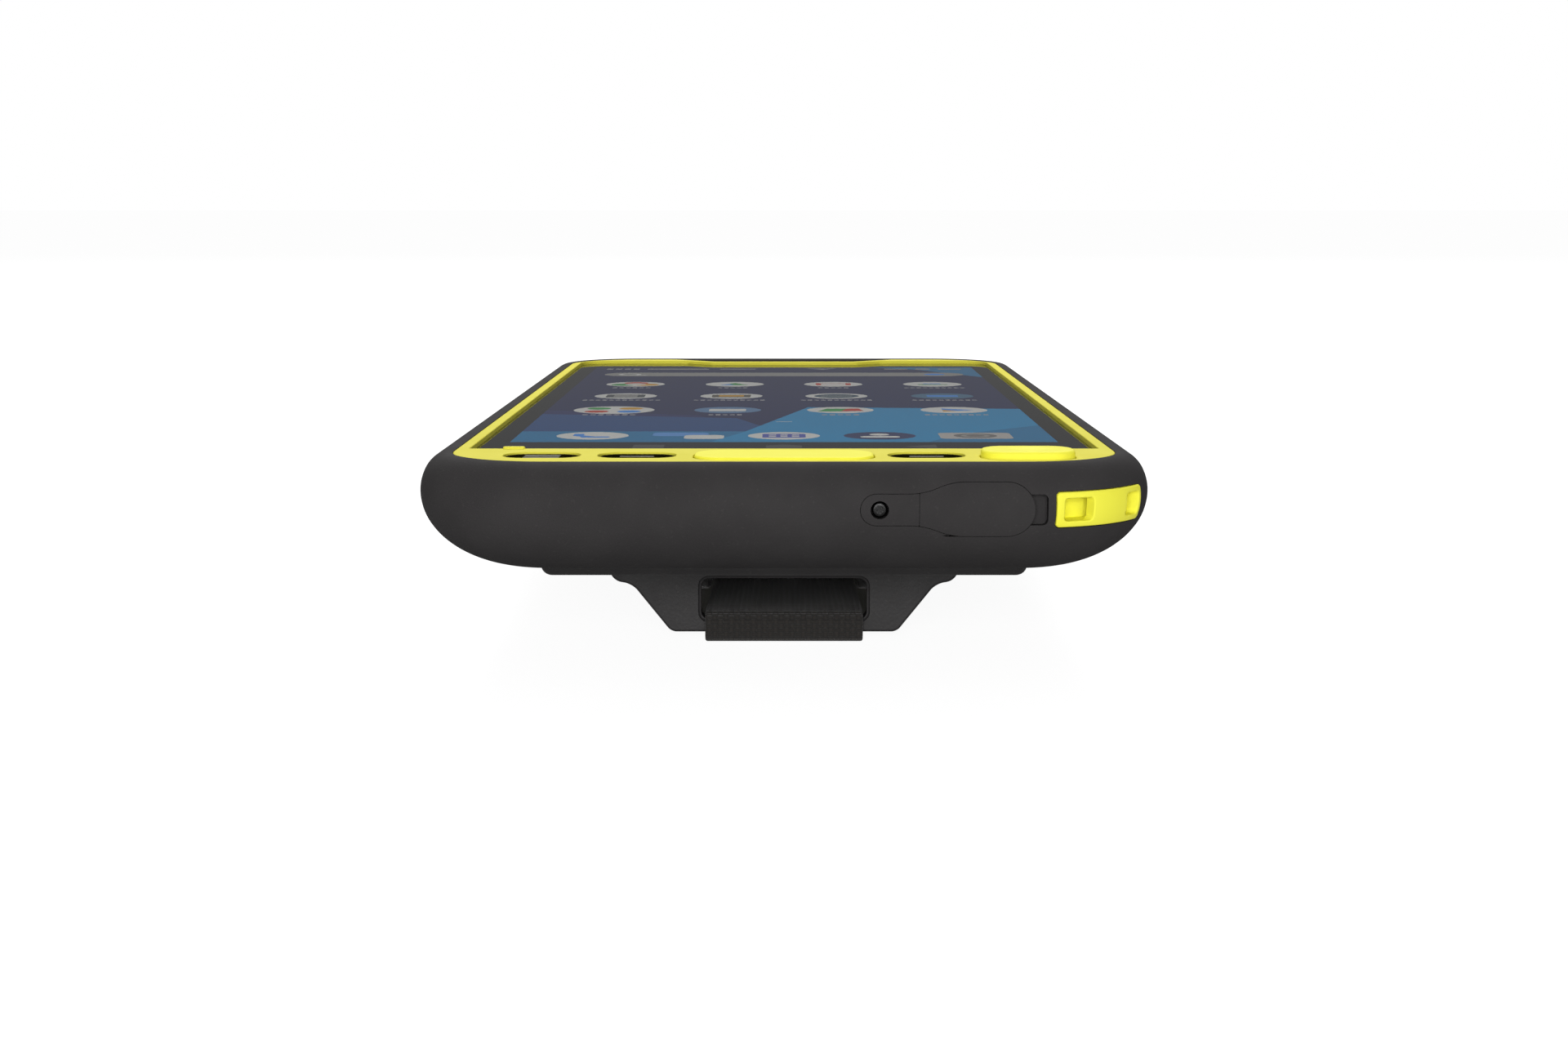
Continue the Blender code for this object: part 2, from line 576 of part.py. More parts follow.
def back_plate():
    outline = inset_rectangle(BACK_OPENING_INSET + GAP, BACK_PLATE_RADIUS)
    solid = prism("back_plate", outline, BACK_PLATE_Z, HOUSING_BOTTOM_Z - GAP, "XY",
                  CHARCOAL_PLASTIC, bevel_low=BACK_PLATE_BEVEL)
    seat = prism("window_seat", circle(0.0, CAMERA_Y, CAMERA_WINDOW_RADIUS + SEAM),
                 BACK_PLATE_Z - GAP, BACK_PLATE_Z + CAMERA_WINDOW_THICKNESS + 2 * GAP)
    hole = prism("window_hole", circle(0.0, CAMERA_Y, CAMERA_WINDOW_RADIUS - WINDOW_LEDGE),
                 BACK_PLATE_Z - GAP, HOUSING_BOTTOM_Z + GAP)
    flash_seat = prism("flash_seat", circle(FLASH_OFFSET, CAMERA_Y, FLASH_RADIUS + SEAM),
                       BACK_PLATE_Z - GAP, HOUSING_BOTTOM_Z + GAP)
    cut(solid, seat, hole, flash_seat)
    for i, (x, y) in enumerate(case_screw_places()):
        cut(solid, *screw_hole(f"plate_{i}", x, y, BACK_PLATE_Z, HOUSING_BOTTOM - BACK_DROP + 0.004))
    for name, x, y in bracket_screw_places():
        cut(solid, prism(name + "_plate_hole", circle(x, y, SCREW_SHANK_RADIUS + GAP, 10),
                         BACK_PLATE_Z - GAP, HOUSING_BOTTOM_Z + GAP))
    half_x, half_y = SOUND_SLOT_SIZE[0] / 2, SOUND_SLOT_SIZE[1] / 2
    y = NEAR + BACK_OPENING_INSET + SOUND_SLOTS_AT[1]
    for i in range(5):
        x = (i - 2) * SOUND_SLOT_PITCH + SOUND_SLOTS_AT[0]
        slot = rectangle(x - half_x, x + half_x, y - half_y, y + half_y, half_x - 0.0001, 2)
        cut(solid, prism(f"sound_slot_{i}", slot, BACK_PLATE_Z - GAP, HOUSING_BOTTOM_Z + GAP))
    return solid


# ---------------------------------------------------------------- front: bezel, glass, display
def trapezoid(grow, far_y):
    """The earpiece recess, wider towards the bumper."""
    slope = (EARPIECE_WIDE - EARPIECE_NARROW) / 2 / EARPIECE_DEPTH
    near_y = EARPIECE_NEAR_Y - grow
    side = grow * math.sqrt(1 + slope * slope)
    narrow = EARPIECE_NARROW / 2 + side - slope * grow
    wide = narrow + slope * (far_y - near_y)
    return [(-narrow, near_y), (narrow, near_y), (wide, far_y), (-wide, far_y)]


def glass_outline(shrink):
    x = GLASS_HALF_WIDTH - shrink
    far = GLASS_FAR_Y - shrink
    near = GLASS_NEAR_Y + shrink
    notch = trapezoid(EARPIECE_STRIP + shrink, far)
    corner = GLASS_FAR_RADIUS - shrink
    return rounded([(-x, near, 0), (x, near, 0), (x, far, corner),
                    (notch[2][0], far, 0), (notch[1][0], notch[1][1], 0),
                    (notch[0][0], notch[0][1], 0), (notch[3][0], far, 0), (-x, far, corner)], 6)


def front_bezel():
    solid = prism("front_bezel", inset_rectangle(BEZEL_INSET), BEZEL_BOTTOM_Z, BEZEL_TOP_Z, "XY",
                  YELLOW_PLASTIC)
    pocket = prism("glass_pocket", glass_outline(0.0), LEDGE_Z, BEZEL_TOP_Z + GAP)
    opening = prism("display_opening", glass_outline(GLASS_LEDGE), BEZEL_BOTTOM_Z - GAP,
                    LEDGE_Z + GAP)
    earpiece = prism("earpiece_recess", trapezoid(0.0, FAR - BEZEL_INSET + GAP),
                     BEZEL_BOTTOM_Z - GAP, BEZEL_TOP_Z + GAP)
    cut(solid, pocket, opening, earpiece)
    for name, x, y, size, top_z, _material in chin_keys():
        cut(solid, box(name + "_well", *key_span(x, size[0], SEAM), *key_span(y, size[1], SEAM),
                       BEZEL_BOTTOM_Z - GAP, BEZEL_TOP_Z + GAP, radius=key_radius(size) + SEAM),
            box(name + "_pocket", *key_span(x, size[0], KEY_FLANGE + GAP),
                *key_span(y, size[1], KEY_FLANGE + GAP),
                BEZEL_BOTTOM_Z - GAP, KEY_FOOT_Z + KEY_FLANGE + GAP,
                radius=key_radius(size) + KEY_FLANGE))
    return solid


def key_span(centre, size, grow):
    return centre - size / 2 - grow, centre + size / 2 + grow


def key_radius(size):
    return min(size[1] * 0.42, 0.0034)


def chin_keys():
    """Each key below the screen: its name, place, plan size, top level and material."""
    home_edge = HOME_KEY_SIZE[0] / 2
    function_edge = OUTER_KEY_X - DARK_KEY_SIZE[0] / 2
    corner_edge = OUTER_KEY_X - CORNER_KEY_SIZE[0] / 2
    left_width = function_edge - home_edge - 2 * KEY_SPACING
    right_width = corner_edge - home_edge - 2 * KEY_SPACING + RIGHT_KEY_EXTRA
    dark_z = BEZEL_TOP_Z - DARK_KEY_DROP
    row = NEAR + CHIN_KEY_ROW
    return [
        ("function_key", -OUTER_KEY_X, row, DARK_KEY_SIZE, dark_z, DARK_KEY_PLASTIC),
        ("left_key", -(home_edge + function_edge) / 2, row, (left_width, DARK_KEY_SIZE[1]),
         dark_z, DARK_KEY_PLASTIC),
        ("home_key", 0.0, NEAR + HOME_KEY_ROW, HOME_KEY_SIZE, BEZEL_TOP_Z + HOME_KEY_RISE,
         BRIGHT_YELLOW),
        ("right_key", (home_edge + corner_edge) / 2, row, (right_width, DARK_KEY_SIZE[1]),
         dark_z, DARK_KEY_PLASTIC),
        ("corner_key", OUTER_KEY_X, NEAR + CORNER_KEY_ROW, CORNER_KEY_SIZE,
         BEZEL_TOP_Z + CORNER_KEY_RISE, BRIGHT_YELLOW),
    ]


def chin_key(name, x, y, size, top_z, material):
    """A cap in its well, with a flange under the bezel that keeps it in."""
    solid = box(name, *key_span(x, size[0], 0), *key_span(y, size[1], 0), KEY_FOOT_Z, top_z,
                material, key_radius(size), 0.0003)
    flange = box(name + "_flange", *key_span(x, size[0], KEY_FLANGE),
                 *key_span(y, size[1], KEY_FLANGE), KEY_FOOT_Z + 0.00004,
                 KEY_FOOT_Z + KEY_FLANGE, radius=key_radius(size) + KEY_FLANGE / 2)
    set_origin(solid, (x, y, top_z))
    add(solid, flange)
    if name == "corner_key":
        dish = bpy.data.objects.new("corner_key_dish", dish_mesh(size[0] * 1.1))
        dish.location = (x, y, top_z + size[0] * 1.1 - CORNER_KEY_DISH)
        cut(solid, dish)
    return solid


def dish_mesh(radius):
    mesh = bpy.data.meshes.new("dish")
    shape = bmesh.new()
    bmesh.ops.create_uvsphere(shape, u_segments=24, v_segments=40, radius=radius)
    shape.to_mesh(mesh)
    shape.free()
    return mesh


def key_flex():
    """The film under the keys, with a dome under each."""
    keys = chin_keys()
    half = DARK_KEY_SIZE[1] / 2
    first, last = keys[0][1] - 0.0040, keys[-1][1] + 0.0040
    row = NEAR + CHIN_KEY_ROW - 0.0008
    low = CHASSIS_TOP_Z + SEAM
    solid = box("key_flex", first, last, row - half, row + half, low, low + 0.0002, FLEX_AMBER,
                0.0015)
    for name, x, _y, _size, _top, _material in keys:
        dome = prism(name + "_dome", circle(x, row, DOME_RADIUS, 16), low + 0.0001,
                     KEY_FOOT_Z - KEY_TRAVEL - 0.00005)
        add(solid, dome)
    return solid


def cover_glass():
    return prism("cover_glass", glass_outline(SEAM), GLASS_Z - GLASS_THICKNESS, GLASS_Z, "XY",
                 SCREEN_GLASS)


def display_seal():
    outer = glass_outline(SEAM * 2)
    inner = glass_outline(SEAM * 2 + SEAL_WIDTH)
    return prism("display_seal", [outer, inner], LEDGE_Z + SEAM, LEDGE_Z + SEAM + SEAL_THICKNESS,
                 "XY", SEAL_RUBBER)


def display_panel():
    x = GLASS_HALF_WIDTH - GLASS_LEDGE - GAP
    top = GLASS_Z - GLASS_THICKNESS - SEAM
    return box("display_panel", -x, x, GLASS_NEAR_Y + GLASS_LEDGE + GAP, FAR - PANEL_FAR_INSET,
               top - PANEL_THICKNESS, top, DISPLAY_BLACK, 0.0008)


def front_camera():
    top = GLASS_Z - GLASS_THICKNESS - SEAM
    y = FAR - PANEL_FAR_INSET + GAP + FRONT_CAMERA_RADIUS + SEAM
    return prism("front_camera", circle(FRONT_CAMERA_X, y, FRONT_CAMERA_RADIUS), BEZEL_BOTTOM_Z,
                 top, "XY", LENS_GLASS)


def earpiece_grille():
    far = FAR - BEZEL_INSET - SEAM
    top = BEZEL_TOP_Z - GRILLE_DROP
    solid = prism("earpiece_grille", trapezoid(-SEAM, far), top - GRILLE_THICKNESS, top, "XY",
                  GREY_MESH)
    half = EARPIECE_SLOT_WIDTH / 2
    for i in range(5):
        x = (i - 2) * EARPIECE_SLOT_PITCH
        slot = rectangle(x - half, x + half, EARPIECE_NEAR_Y + 2 * half, far - 2 * half,
                         half - 0.0001, 2)
        cut(solid, prism(f"earpiece_slot_{i}", slot, top - GRILLE_THICKNESS - GAP, top + GAP))
    return solid


def earpiece_speaker():
    top = BEZEL_TOP_Z - GRILLE_DROP - GRILLE_THICKNESS - GAP
    return box("earpiece_speaker", -EARPIECE_SPEAKER_HALF, EARPIECE_SPEAKER_HALF,
               EARPIECE_NEAR_Y + GAP, FAR - BEZEL_INSET - GAP, BEZEL_BOTTOM_Z, top,
               BRIGHT_STEEL, 0.0008)


# ---------------------------------------------------------------- inside
def chassis():
    """Magnesium plate under the display, with a wall round its edge."""
    solid = prism("chassis", inset_rectangle(CHASSIS_INSET), GLASS_Z - CHASSIS_BOTTOM,
                  CHASSIS_TOP_Z, "XY", MAGNESIUM)
    hollow = prism("chassis_hollow", inset_rectangle(CHASSIS_INSET + CHASSIS_WALL),
                   GLASS_Z - CHASSIS_BOTTOM - GAP, CHASSIS_TOP_Z - CHASSIS_SKIN)
    x, length, height = SOCKET_SIZE
    socket_gap = box("socket_gap", SOCKET_AT - x / 2 - GAP, SOCKET_AT + x / 2 + GAP,
                     NEAR, socket_near_y() + length + GAP,
                     GLASS_Z - CHASSIS_BOTTOM - GAP, CHASSIS_TOP_Z + GAP)
    return cut(solid, hollow, socket_gap)


def main_board():
    half = SIDE - CHASSIS_INSET - CHASSIS_WALL - 0.0020
    top = INSIDE_TOP_Z
    solid = box("main_board", -half, half, MAIN_BOARD_NEAR_Y, MAIN_BOARD_FAR_Y,
                top - BOARD_THICKNESS, top, BOARD_GREEN, CORNER_RADIUS - 0.0075)
    chips = [box("processor", -PROCESSOR_HALF, PROCESSOR_HALF, MAIN_BOARD_NEAR_Y + 0.0020,
                 MAIN_BOARD_NEAR_Y + 0.0020 + 2 * PROCESSOR_HALF,
                 top - BOARD_THICKNESS - 0.0010, top - BOARD_THICKNESS / 2)]
    for i in range(3):
        x = half - 0.0090
        y = MAIN_BOARD_NEAR_Y + 0.0030 + i * 0.0055
        chips.append(box(f"chip_{i}", x, x + 0.0050, y, y + 0.0035, top - BOARD_THICKNESS - 0.0007,
                         top - BOARD_THICKNESS / 2))
    return add(solid, *chips)


def shield_can():
    top = INSIDE_TOP_Z - BOARD_THICKNESS - GAP
    return box("shield_can", *SHIELD_SPAN, MAIN_BOARD_NEAR_Y + 0.0040, MAIN_BOARD_FAR_Y - 0.0060,
               top - SHIELD_HEIGHT, top, BRIGHT_STEEL, 0.0015, 0.0003)


def satellite_antenna():
    top = INSIDE_TOP_Z - BOARD_THICKNESS - GAP
    y = MAIN_BOARD_FAR_Y - 0.0200
    return box("satellite_antenna", ANTENNA_X, ANTENNA_X + ANTENNA_SIZE, y, y + ANTENNA_SIZE,
               top - ANTENNA_HEIGHT, top, CERAMIC, 0.0006)


def rear_camera():
    """Square body under the board and a barrel that reaches down to the window."""
    top = INSIDE_TOP_Z - BOARD_THICKNESS - GAP
    half = CAMERA_BODY_HALF
    solid = box("rear_camera", -half, half, CAMERA_Y - half, CAMERA_Y + half,
                CAVITY_FLOOR_Z + GAP, top, BLACK_STEEL, 0.0006)
    barrel = prism("camera_barrel", circle(0.0, CAMERA_Y, CAMERA_BARREL_RADIUS),
                   BACK_PLATE_Z + CAMERA_WINDOW_THICKNESS + 3 * GAP, CAVITY_FLOOR_Z + 2 * GAP)
    return add(solid, barrel)


def camera_window():
    return prism("camera_window", circle(0.0, CAMERA_Y, CAMERA_WINDOW_RADIUS, 32),
                 BACK_PLATE_Z + SEAM, BACK_PLATE_Z + SEAM + CAMERA_WINDOW_THICKNESS, "XY",
                 LENS_GLASS)


def flash_lens():
    return prism("flash_lens", circle(FLASH_OFFSET, CAMERA_Y, FLASH_RADIUS, 20),
                 BACK_PLATE_Z + SEAM, HOUSING_BOTTOM_Z - GAP, "XY", LENS_GLASS)


def battery_pack():
    half = SIDE - CAVITY_INSET - GAP * 2
    return box("battery_pack", -half, half, NEAR + BATTERY_NEAR_INSET, MAIN_BOARD_NEAR_Y - 0.0020,
               CAVITY_FLOOR_Z + GAP, INSIDE_TOP_Z, BATTERY_WRAP, 0.0020, 0.0006)


def loudspeaker():
    return box("loudspeaker", *SPEAKER_SPAN, NEAR + 0.0095, NEAR + BATTERY_NEAR_INSET - 0.0045,
               INSIDE_TOP_Z - SPEAKER_HEIGHT, INSIDE_TOP_Z, BLACK_STEEL, 0.0030, 0.0003)


def vibration_motor():
    return prism("vibration_motor", circle(MOTOR_AT[0], NEAR + MOTOR_AT[1], MOTOR_RADIUS),
                 INSIDE_TOP_Z - MOTOR_HEIGHT, INSIDE_TOP_Z, "XY", BRIGHT_STEEL)


def charge_board_top_z():
    return GLASS_Z - SOCKET_TOP - SOCKET_SIZE[2] - SEAM


def charge_board():
    width, length = CHARGE_BOARD_SIZE
    x = SOCKET_AT - width / 2 - 0.0050
    y = NEAR + 0.0078
    return box("charge_board", x, x + width, y, y + length, charge_board_top_z() - 0.0006,
               charge_board_top_z(), BOARD_GREEN, 0.0020)


def link_flex():
    """Film beside the battery, from the charge board to the main board."""
    half = SIDE - CAVITY_INSET + GAP
    top = INSIDE_TOP_Z - BOARD_THICKNESS - GAP
    return box("link_flex", half, half + 0.0060, NEAR + 0.0078 + CHARGE_BOARD_SIZE[1] + GAP,
               MAIN_BOARD_NEAR_Y + 0.0020, top - FLEX_THICKNESS, top, FLEX_AMBER, 0.0006)


def socket_near_y():
    return NEAR + BUMPER_WALL + GAP


def usb_socket():
    """Reversible power and data socket: a shell with a tongue in its mouth."""
    width, length, height = SOCKET_SIZE
    y = socket_near_y()
    middle = GLASS_Z - SOCKET_TOP - height / 2
    x0, x1 = SOCKET_AT - width / 2, SOCKET_AT + width / 2
    solid = prism("usb_socket", rectangle(x0, x1, middle - height / 2, middle + height / 2,
                                          height / 2 - 0.0001, 6), y, y + length, "XZ", BRIGHT_STEEL)
    wall = SOCKET_WALL
    mouth = prism("socket_mouth", rectangle(x0 + wall, x1 - wall, middle - height / 2 + wall,
                                            middle + height / 2 - wall, height / 2 - wall - 0.0001, 6),
                  y - GAP, y + length - 0.0010, "XZ")
    tongue = prism("socket_tongue", rectangle(x0 + 0.0014, x1 - 0.0014, middle - 0.00035,
                                              middle + 0.00035), y + 0.0012, y + length - 0.0005, "XZ")
    return add(cut(solid, mouth), tongue)


# ---------------------------------------------------------------- port cover on the near end
def port_z():
    return GLASS_Z - PORT_DROP


def cover_half_height(x):
    """Half the cover's height at x: a round tab end, a narrow neck, then the round-ended flap."""
    if x < PORT_TAB_START + PORT_TAB_HALF:
        back = PORT_TAB_START + PORT_TAB_HALF - x
        return math.sqrt(max(0.0, PORT_TAB_HALF ** 2 - back ** 2))
    if x > PORT_FLAP_END - PORT_FLAP_HALF:
        on = x - PORT_FLAP_END + PORT_FLAP_HALF
        return math.sqrt(max(0.0, PORT_FLAP_HALF ** 2 - on ** 2))
    t = min(1.0, max(0.0, (x - PORT_WIDEN[0]) / (PORT_WIDEN[1] - PORT_WIDEN[0])))
    return PORT_TAB_HALF + (PORT_FLAP_HALF - PORT_TAB_HALF) * t * t * (3 - 2 * t)


def cover_outline(start, end, grow=0.0):
    """The cover between two x positions, in the plane of the near end, grown by grow."""
    places = []
    tab_centre = PORT_TAB_START + PORT_TAB_HALF
    flap_centre = PORT_FLAP_END - PORT_FLAP_HALF
    for i in range(9):
        places.append(tab_centre - PORT_TAB_HALF * math.cos(math.radians(i * 11.25)))
        places.append(flap_centre + PORT_FLAP_HALF * math.sin(math.radians(i * 11.25)))
        places.append(PORT_WIDEN[0] + (PORT_WIDEN[1] - PORT_WIDEN[0]) * i / 8)
    inside = sorted({round(x, 7) for x in places if start < x < end} | {start, end})
    edge = []
    for x in inside:
        half = cover_half_height(x)
        if x > flap_centre:
            scale = 1 + grow / PORT_FLAP_HALF
            edge.append((flap_centre + (x - flap_centre) * scale, half * scale))
        elif x < tab_centre:
            scale = 1 + grow / PORT_TAB_HALF
            edge.append((tab_centre + (x - tab_centre) * scale, half * scale))
        else:
            edge.append((x, half + grow))
    upper = [(x, port_z() + h) for x, h in edge]
    lower = [(x, port_z() - h) for x, h in reversed(edge) if h > 1e-7]
    return upper + lower


def cover_blank(name, start, end):
    """A piece of the bumper's own skin, so that it lies flush with the end."""
    solid = prism(name, cover_outline(start, end), NEAR - GAP, NEAR + PORT_COVER_DEPTH, "XZ",
                  CHARCOAL_RUBBER)
    return keep(solid, swept_ring(name + "_skin", bumper_section()))


def port_cover_tab():
    solid = cover_blank("port_cover_tab", PORT_TAB_START, PORT_FOLD - SEAM)
    hole = prism("tab_screw_hole", circle(PORT_SCREW_AT, port_z(), PORT_SCREW_RADIUS + SEAM),
                 NEAR - GAP, NEAR + PORT_COVER_DEPTH + GAP, "XZ")
    return cut(solid, hole)


def plug_outline(grow):
    middle = GLASS_Z - SOCKET_TOP - SOCKET_SIZE[2] / 2
    half_x, half_z = PORT_PLUG_HALF[0] + grow, PORT_PLUG_HALF[1] + grow
    return rectangle(SOCKET_AT - half_x, SOCKET_AT + half_x, middle - half_z, middle + half_z,
                     half_z - 0.0001, 5)


def port_cover():
    """The flap, with the plug on its back that fills the socket's opening."""
    solid = cover_blank("port_cover", PORT_FOLD + SEAM, PORT_FLAP_END)
    plug = prism("cover_plug", plug_outline(0.0), NEAR + PORT_COVER_DEPTH - GAP,
                 NEAR + PORT_COVER_DEPTH + PORT_PLUG_DEPTH, "XZ")
    add(solid, plug)
    return set_origin(solid, (PORT_FOLD, NEAR, port_z()))


def port_holes(name, low, high):
    """The opening behind the cover, for the plug and for a connector, and the tab screw's hole."""
    opening = prism(name + "_port_opening", plug_outline(PORT_PLUG_CLEARANCE),
                    low + PORT_COVER_DEPTH * 0.6, high + GAP, "XZ")
    screw_bore = prism(name + "_tab_bore", circle(PORT_SCREW_AT, port_z(), PORT_SCREW_SHANK + SEAM, 12),
                       low + PORT_COVER_DEPTH * 0.6, high + GAP, "XZ")
    return opening, screw_bore


def port_cover_screw():
    z = port_z()
    head_y = NEAR + PORT_SCREW_SUNK
    solid = prism("port_cover_screw", circle(PORT_SCREW_AT, z, PORT_SCREW_RADIUS), head_y,
                  head_y + 0.0009, "XZ", BLACK_STEEL)
    shank = prism("tab_screw_shank", circle(PORT_SCREW_AT, z, PORT_SCREW_SHANK, 12), head_y + 0.0005,
                  NEAR + BUMPER_WALL, "XZ")
    drive = prism("tab_screw_drive", star(PORT_SCREW_AT, z, PORT_SCREW_RADIUS * 0.55),
                  head_y - GAP, head_y + 0.0005, "XZ")
    return cut(add(solid, shank), drive)


# ---------------------------------------------------------------- tether anchor on the corner
def tether_anchor():
    """A bar round the corner in front of a channel, open through a window at each end."""
    centre = corner_centre()
    outer = CORNER_RADIUS + ANCHOR_PROUD
    solid = prism("tether_anchor", sector(centre, CORNER_RADIUS - BUMPER_WALL, outer + GAP,
                                          *ANCHOR_TURN, 12), anchor_z(-1), anchor_z(1), "XY",
                  BRIGHT_YELLOW)
    keep(solid, swept_ring("anchor_skin", bumper_section(ANCHOR_PROUD)))
    depth, height = ANCHOR_CHANNEL
    low, high = GLASS_Z - ANCHOR_DROP - height / 2, GLASS_Z - ANCHOR_DROP + height / 2
    back = outer - ANCHOR_BAR - depth
    cut(solid, prism("tether_channel", sector(centre, back, outer - ANCHOR_BAR, ANCHOR_WINDOWS[0][0],
                                              ANCHOR_WINDOWS[1][1], 12), low, high))
    for i, (start, end) in enumerate(ANCHOR_WINDOWS):
        cut(solid, prism(f"tether_window_{i}", sector(centre, back + 0.0001, outer + 4 * GAP, start,
                                                      end, 5), low, high))
    return solid


# ---------------------------------------------------------------- side keys
def side_key_z():
    return GLASS_Z - SIDE_KEY_DROP


def side_keys():
    """Name, side, place along the body and length of each side key."""
    far = FAR - SIDE_KEY_FAR_INSET
    return [
        ("volume_rocker", -1, far, VOLUME_KEY_LENGTH),
        ("left_action_key", -1, far - ACTION_KEY_PITCH, POWER_KEY_LENGTH),
        ("power_key", 1, far, POWER_KEY_LENGTH),
        ("right_action_key", 1, far - ACTION_KEY_PITCH, POWER_KEY_LENGTH),
    ]


def side_key(name, side, y, length):
    outer = side * (SIDE + SIDE_KEY_PROUD)
    inner = side * (SIDE - BUMPER_WALL + 0.0010)
    play = SEAM if name == "volume_rocker" else 0.0
    solid = prism(name, rectangle(y - length / 2 + play, y + length / 2 - play,
                                  side_key_z() - SIDE_KEY_HEIGHT / 2,
                                  side_key_z() + SIDE_KEY_HEIGHT / 2, 0.0010, 4),
                  min(inner, outer), max(inner, outer), "YZ", CHARCOAL_PLASTIC, 0.0004)
    origin_x = side * (SIDE - ROCKER_PIVOT_INSET) if name == "volume_rocker" else outer
    return set_origin(solid, (origin_x, y, side_key_z()))


def side_strip(name, side, grow):
    """The switch film behind the keys of one side, against the chassis."""
    keys = [key for key in side_keys() if key[1] == side]
    low = min(y - length / 2 for _name, _side, y, length in keys) - grow
    high = max(y + length / 2 for _name, _side, y, length in keys) + grow
    wall = SIDE - BUMPER_WALL
    inner, outer = side * (wall - grow), side * (wall + FLEX_THICKNESS + grow)
    return prism(f"{name}_{'left' if side < 0 else 'right'}",
                 rectangle(low, high, side_key_z() - 0.0018 - grow, side_key_z() + 0.0018 + grow),
                 min(inner, outer), max(inner, outer), "YZ", FLEX_AMBER if grow == 0 else None)


# ---------------------------------------------------------------- strap brackets, strap and pad
def bracket_outline():
    """Ears under the back plate, then sides that slope in to the foot."""
    top, foot = BRACKET_TOP_Z, BRACKET_FOOT_Z
    ear = top - BRACKET_EAR_HEIGHT
    half = [(BRACKET_FOOT_WIDTH / 2, foot, 0.0012), (BRACKET_SLOPE_TOP / 2, ear, 0.0020),
            (BRACKET_EAR_WIDTH / 2, ear + 0.0006, 0.0018), (BRACKET_EAR_WIDTH / 2, top, 0.0)]
    return rounded(half + [(-x, z, r) for x, z, r in reversed(half)], 5)


def strap_bracket(name, face_y, inward):
    """A slotted wall across the back with a screwed base behind it. inward is +1 or -1 along Y."""
    half_slot = (WEBBING_WIDTH + SLOT_PLAY) / 2
    slot = rectangle(-half_slot, half_slot, BAR_TOP_Z, SLOT_TOP_Z, 0.0009, 4)
    wall = sorted((face_y, face_y + inward * BRACKET_WALL))
    solid = prism(name, bracket_outline(), *wall, "XZ", CHARCOAL_PLASTIC, 0.0004)
    half = BRACKET_EAR_WIDTH / 2 - 0.0006
    base = box(name + "_base", -half, half,
               *sorted((face_y + inward * BRACKET_WALL / 2, face_y + inward * BRACKET_FLANGE)),
               BRACKET_TOP_Z - BRACKET_EAR_HEIGHT + 0.0008, BRACKET_TOP_Z - 0.00002, radius=0.0015)
    add(solid, base)
    cut(solid, prism(name + "_slot", slot, wall[0] - GAP, wall[1] + BRACKET_FLANGE, "XZ"))
    for screw_name, x, y in bracket_screw_places():
        if screw_name.startswith(name):
            cut(solid, *screw_hole(screw_name, x, y, bracket_seat_z(), 0.0060))
    return solid


def bracket_seat_z():
    return BRACKET_TOP_Z - BRACKET_EAR_HEIGHT + 0.0008


def bracket_screw_places():
    x, along = BRACKET_SCREW_AT
    places = []
    for name, face_y, inward in (("near_bracket", NEAR_BRACKET_Y, 1), ("far_bracket", FAR_BRACKET_Y, -1)):
        for side, word in ((-1, "left"), (1, "right")):
            places.append((f"{name}_screw_{word}", side * x, face_y + inward * along))
    return places


def hand_strap():
    """One band sewn back on itself, so that it loops round both brackets' bars."""
    outer_r = GAP + WEBBING_THICKNESS
    front = NEAR_BRACKET_Y - outer_r
    back = FAR_BRACKET_Y + outer_r
    lift = BAR_TOP_Z + outer_r
    wall = BRACKET_WALL + GAP
    join = PAD_END_CLEARANCE
    outline = rounded([
        (front, 0.0, outer_r), (back, 0.0, outer_r), (back, lift, outer_r),
        (FAR_BRACKET_Y - wall, lift, outer_r), (FAR_BRACKET_Y - join, STRAP_Z, STRAP_BEND_RADIUS),
        (NEAR_BRACKET_Y + join, STRAP_Z, STRAP_BEND_RADIUS), (NEAR_BRACKET_Y + wall, lift, outer_r),
        (front, lift, outer_r)], 4)
    holes = []
    for face_y, inward in ((NEAR_BRACKET_Y, 1), (FAR_BRACKET_Y, -1)):
        low, high = WEBBING_THICKNESS, lift - WEBBING_THICKNESS
        corners = [(face_y - inward * GAP, low, GAP), (face_y - inward * GAP, high, GAP),
                   (face_y + inward * (wall - GAP / 2), high, GAP),
                   (face_y + inward * join * 0.80, low + GAP, 0.0)]
        holes.append(rounded(corners, 3))
    half = WEBBING_WIDTH / 2
    return prism("hand_strap", [outline] + holes, -half, half, "YZ", WOVEN_BLACK)


def palm_pad():
    """A pad that straddles the strap, with a channel underneath for the band's two layers."""
    over_strap = STRAP_Z + GAP
    half = PAD_WIDTH / 2
    near, far = NEAR_BRACKET_Y + PAD_END_CLEARANCE, FAR_BRACKET_Y - PAD_END_CLEARANCE
    radius = min(PAD_RADIUS, 0.45 * (far - near))
    solid = box("palm_pad", -half, half, near, far, PAD_FOOT_Z, over_strap + PAD_THICKNESS,
                WOVEN_BLACK, radius, 0.0008)
    reach = WEBBING_WIDTH / 2 + GAP
    return cut(solid, box("pad_channel", -reach, reach, near - PAD_THICKNESS, far + PAD_THICKNESS,
                          -PAD_THICKNESS, over_strap))


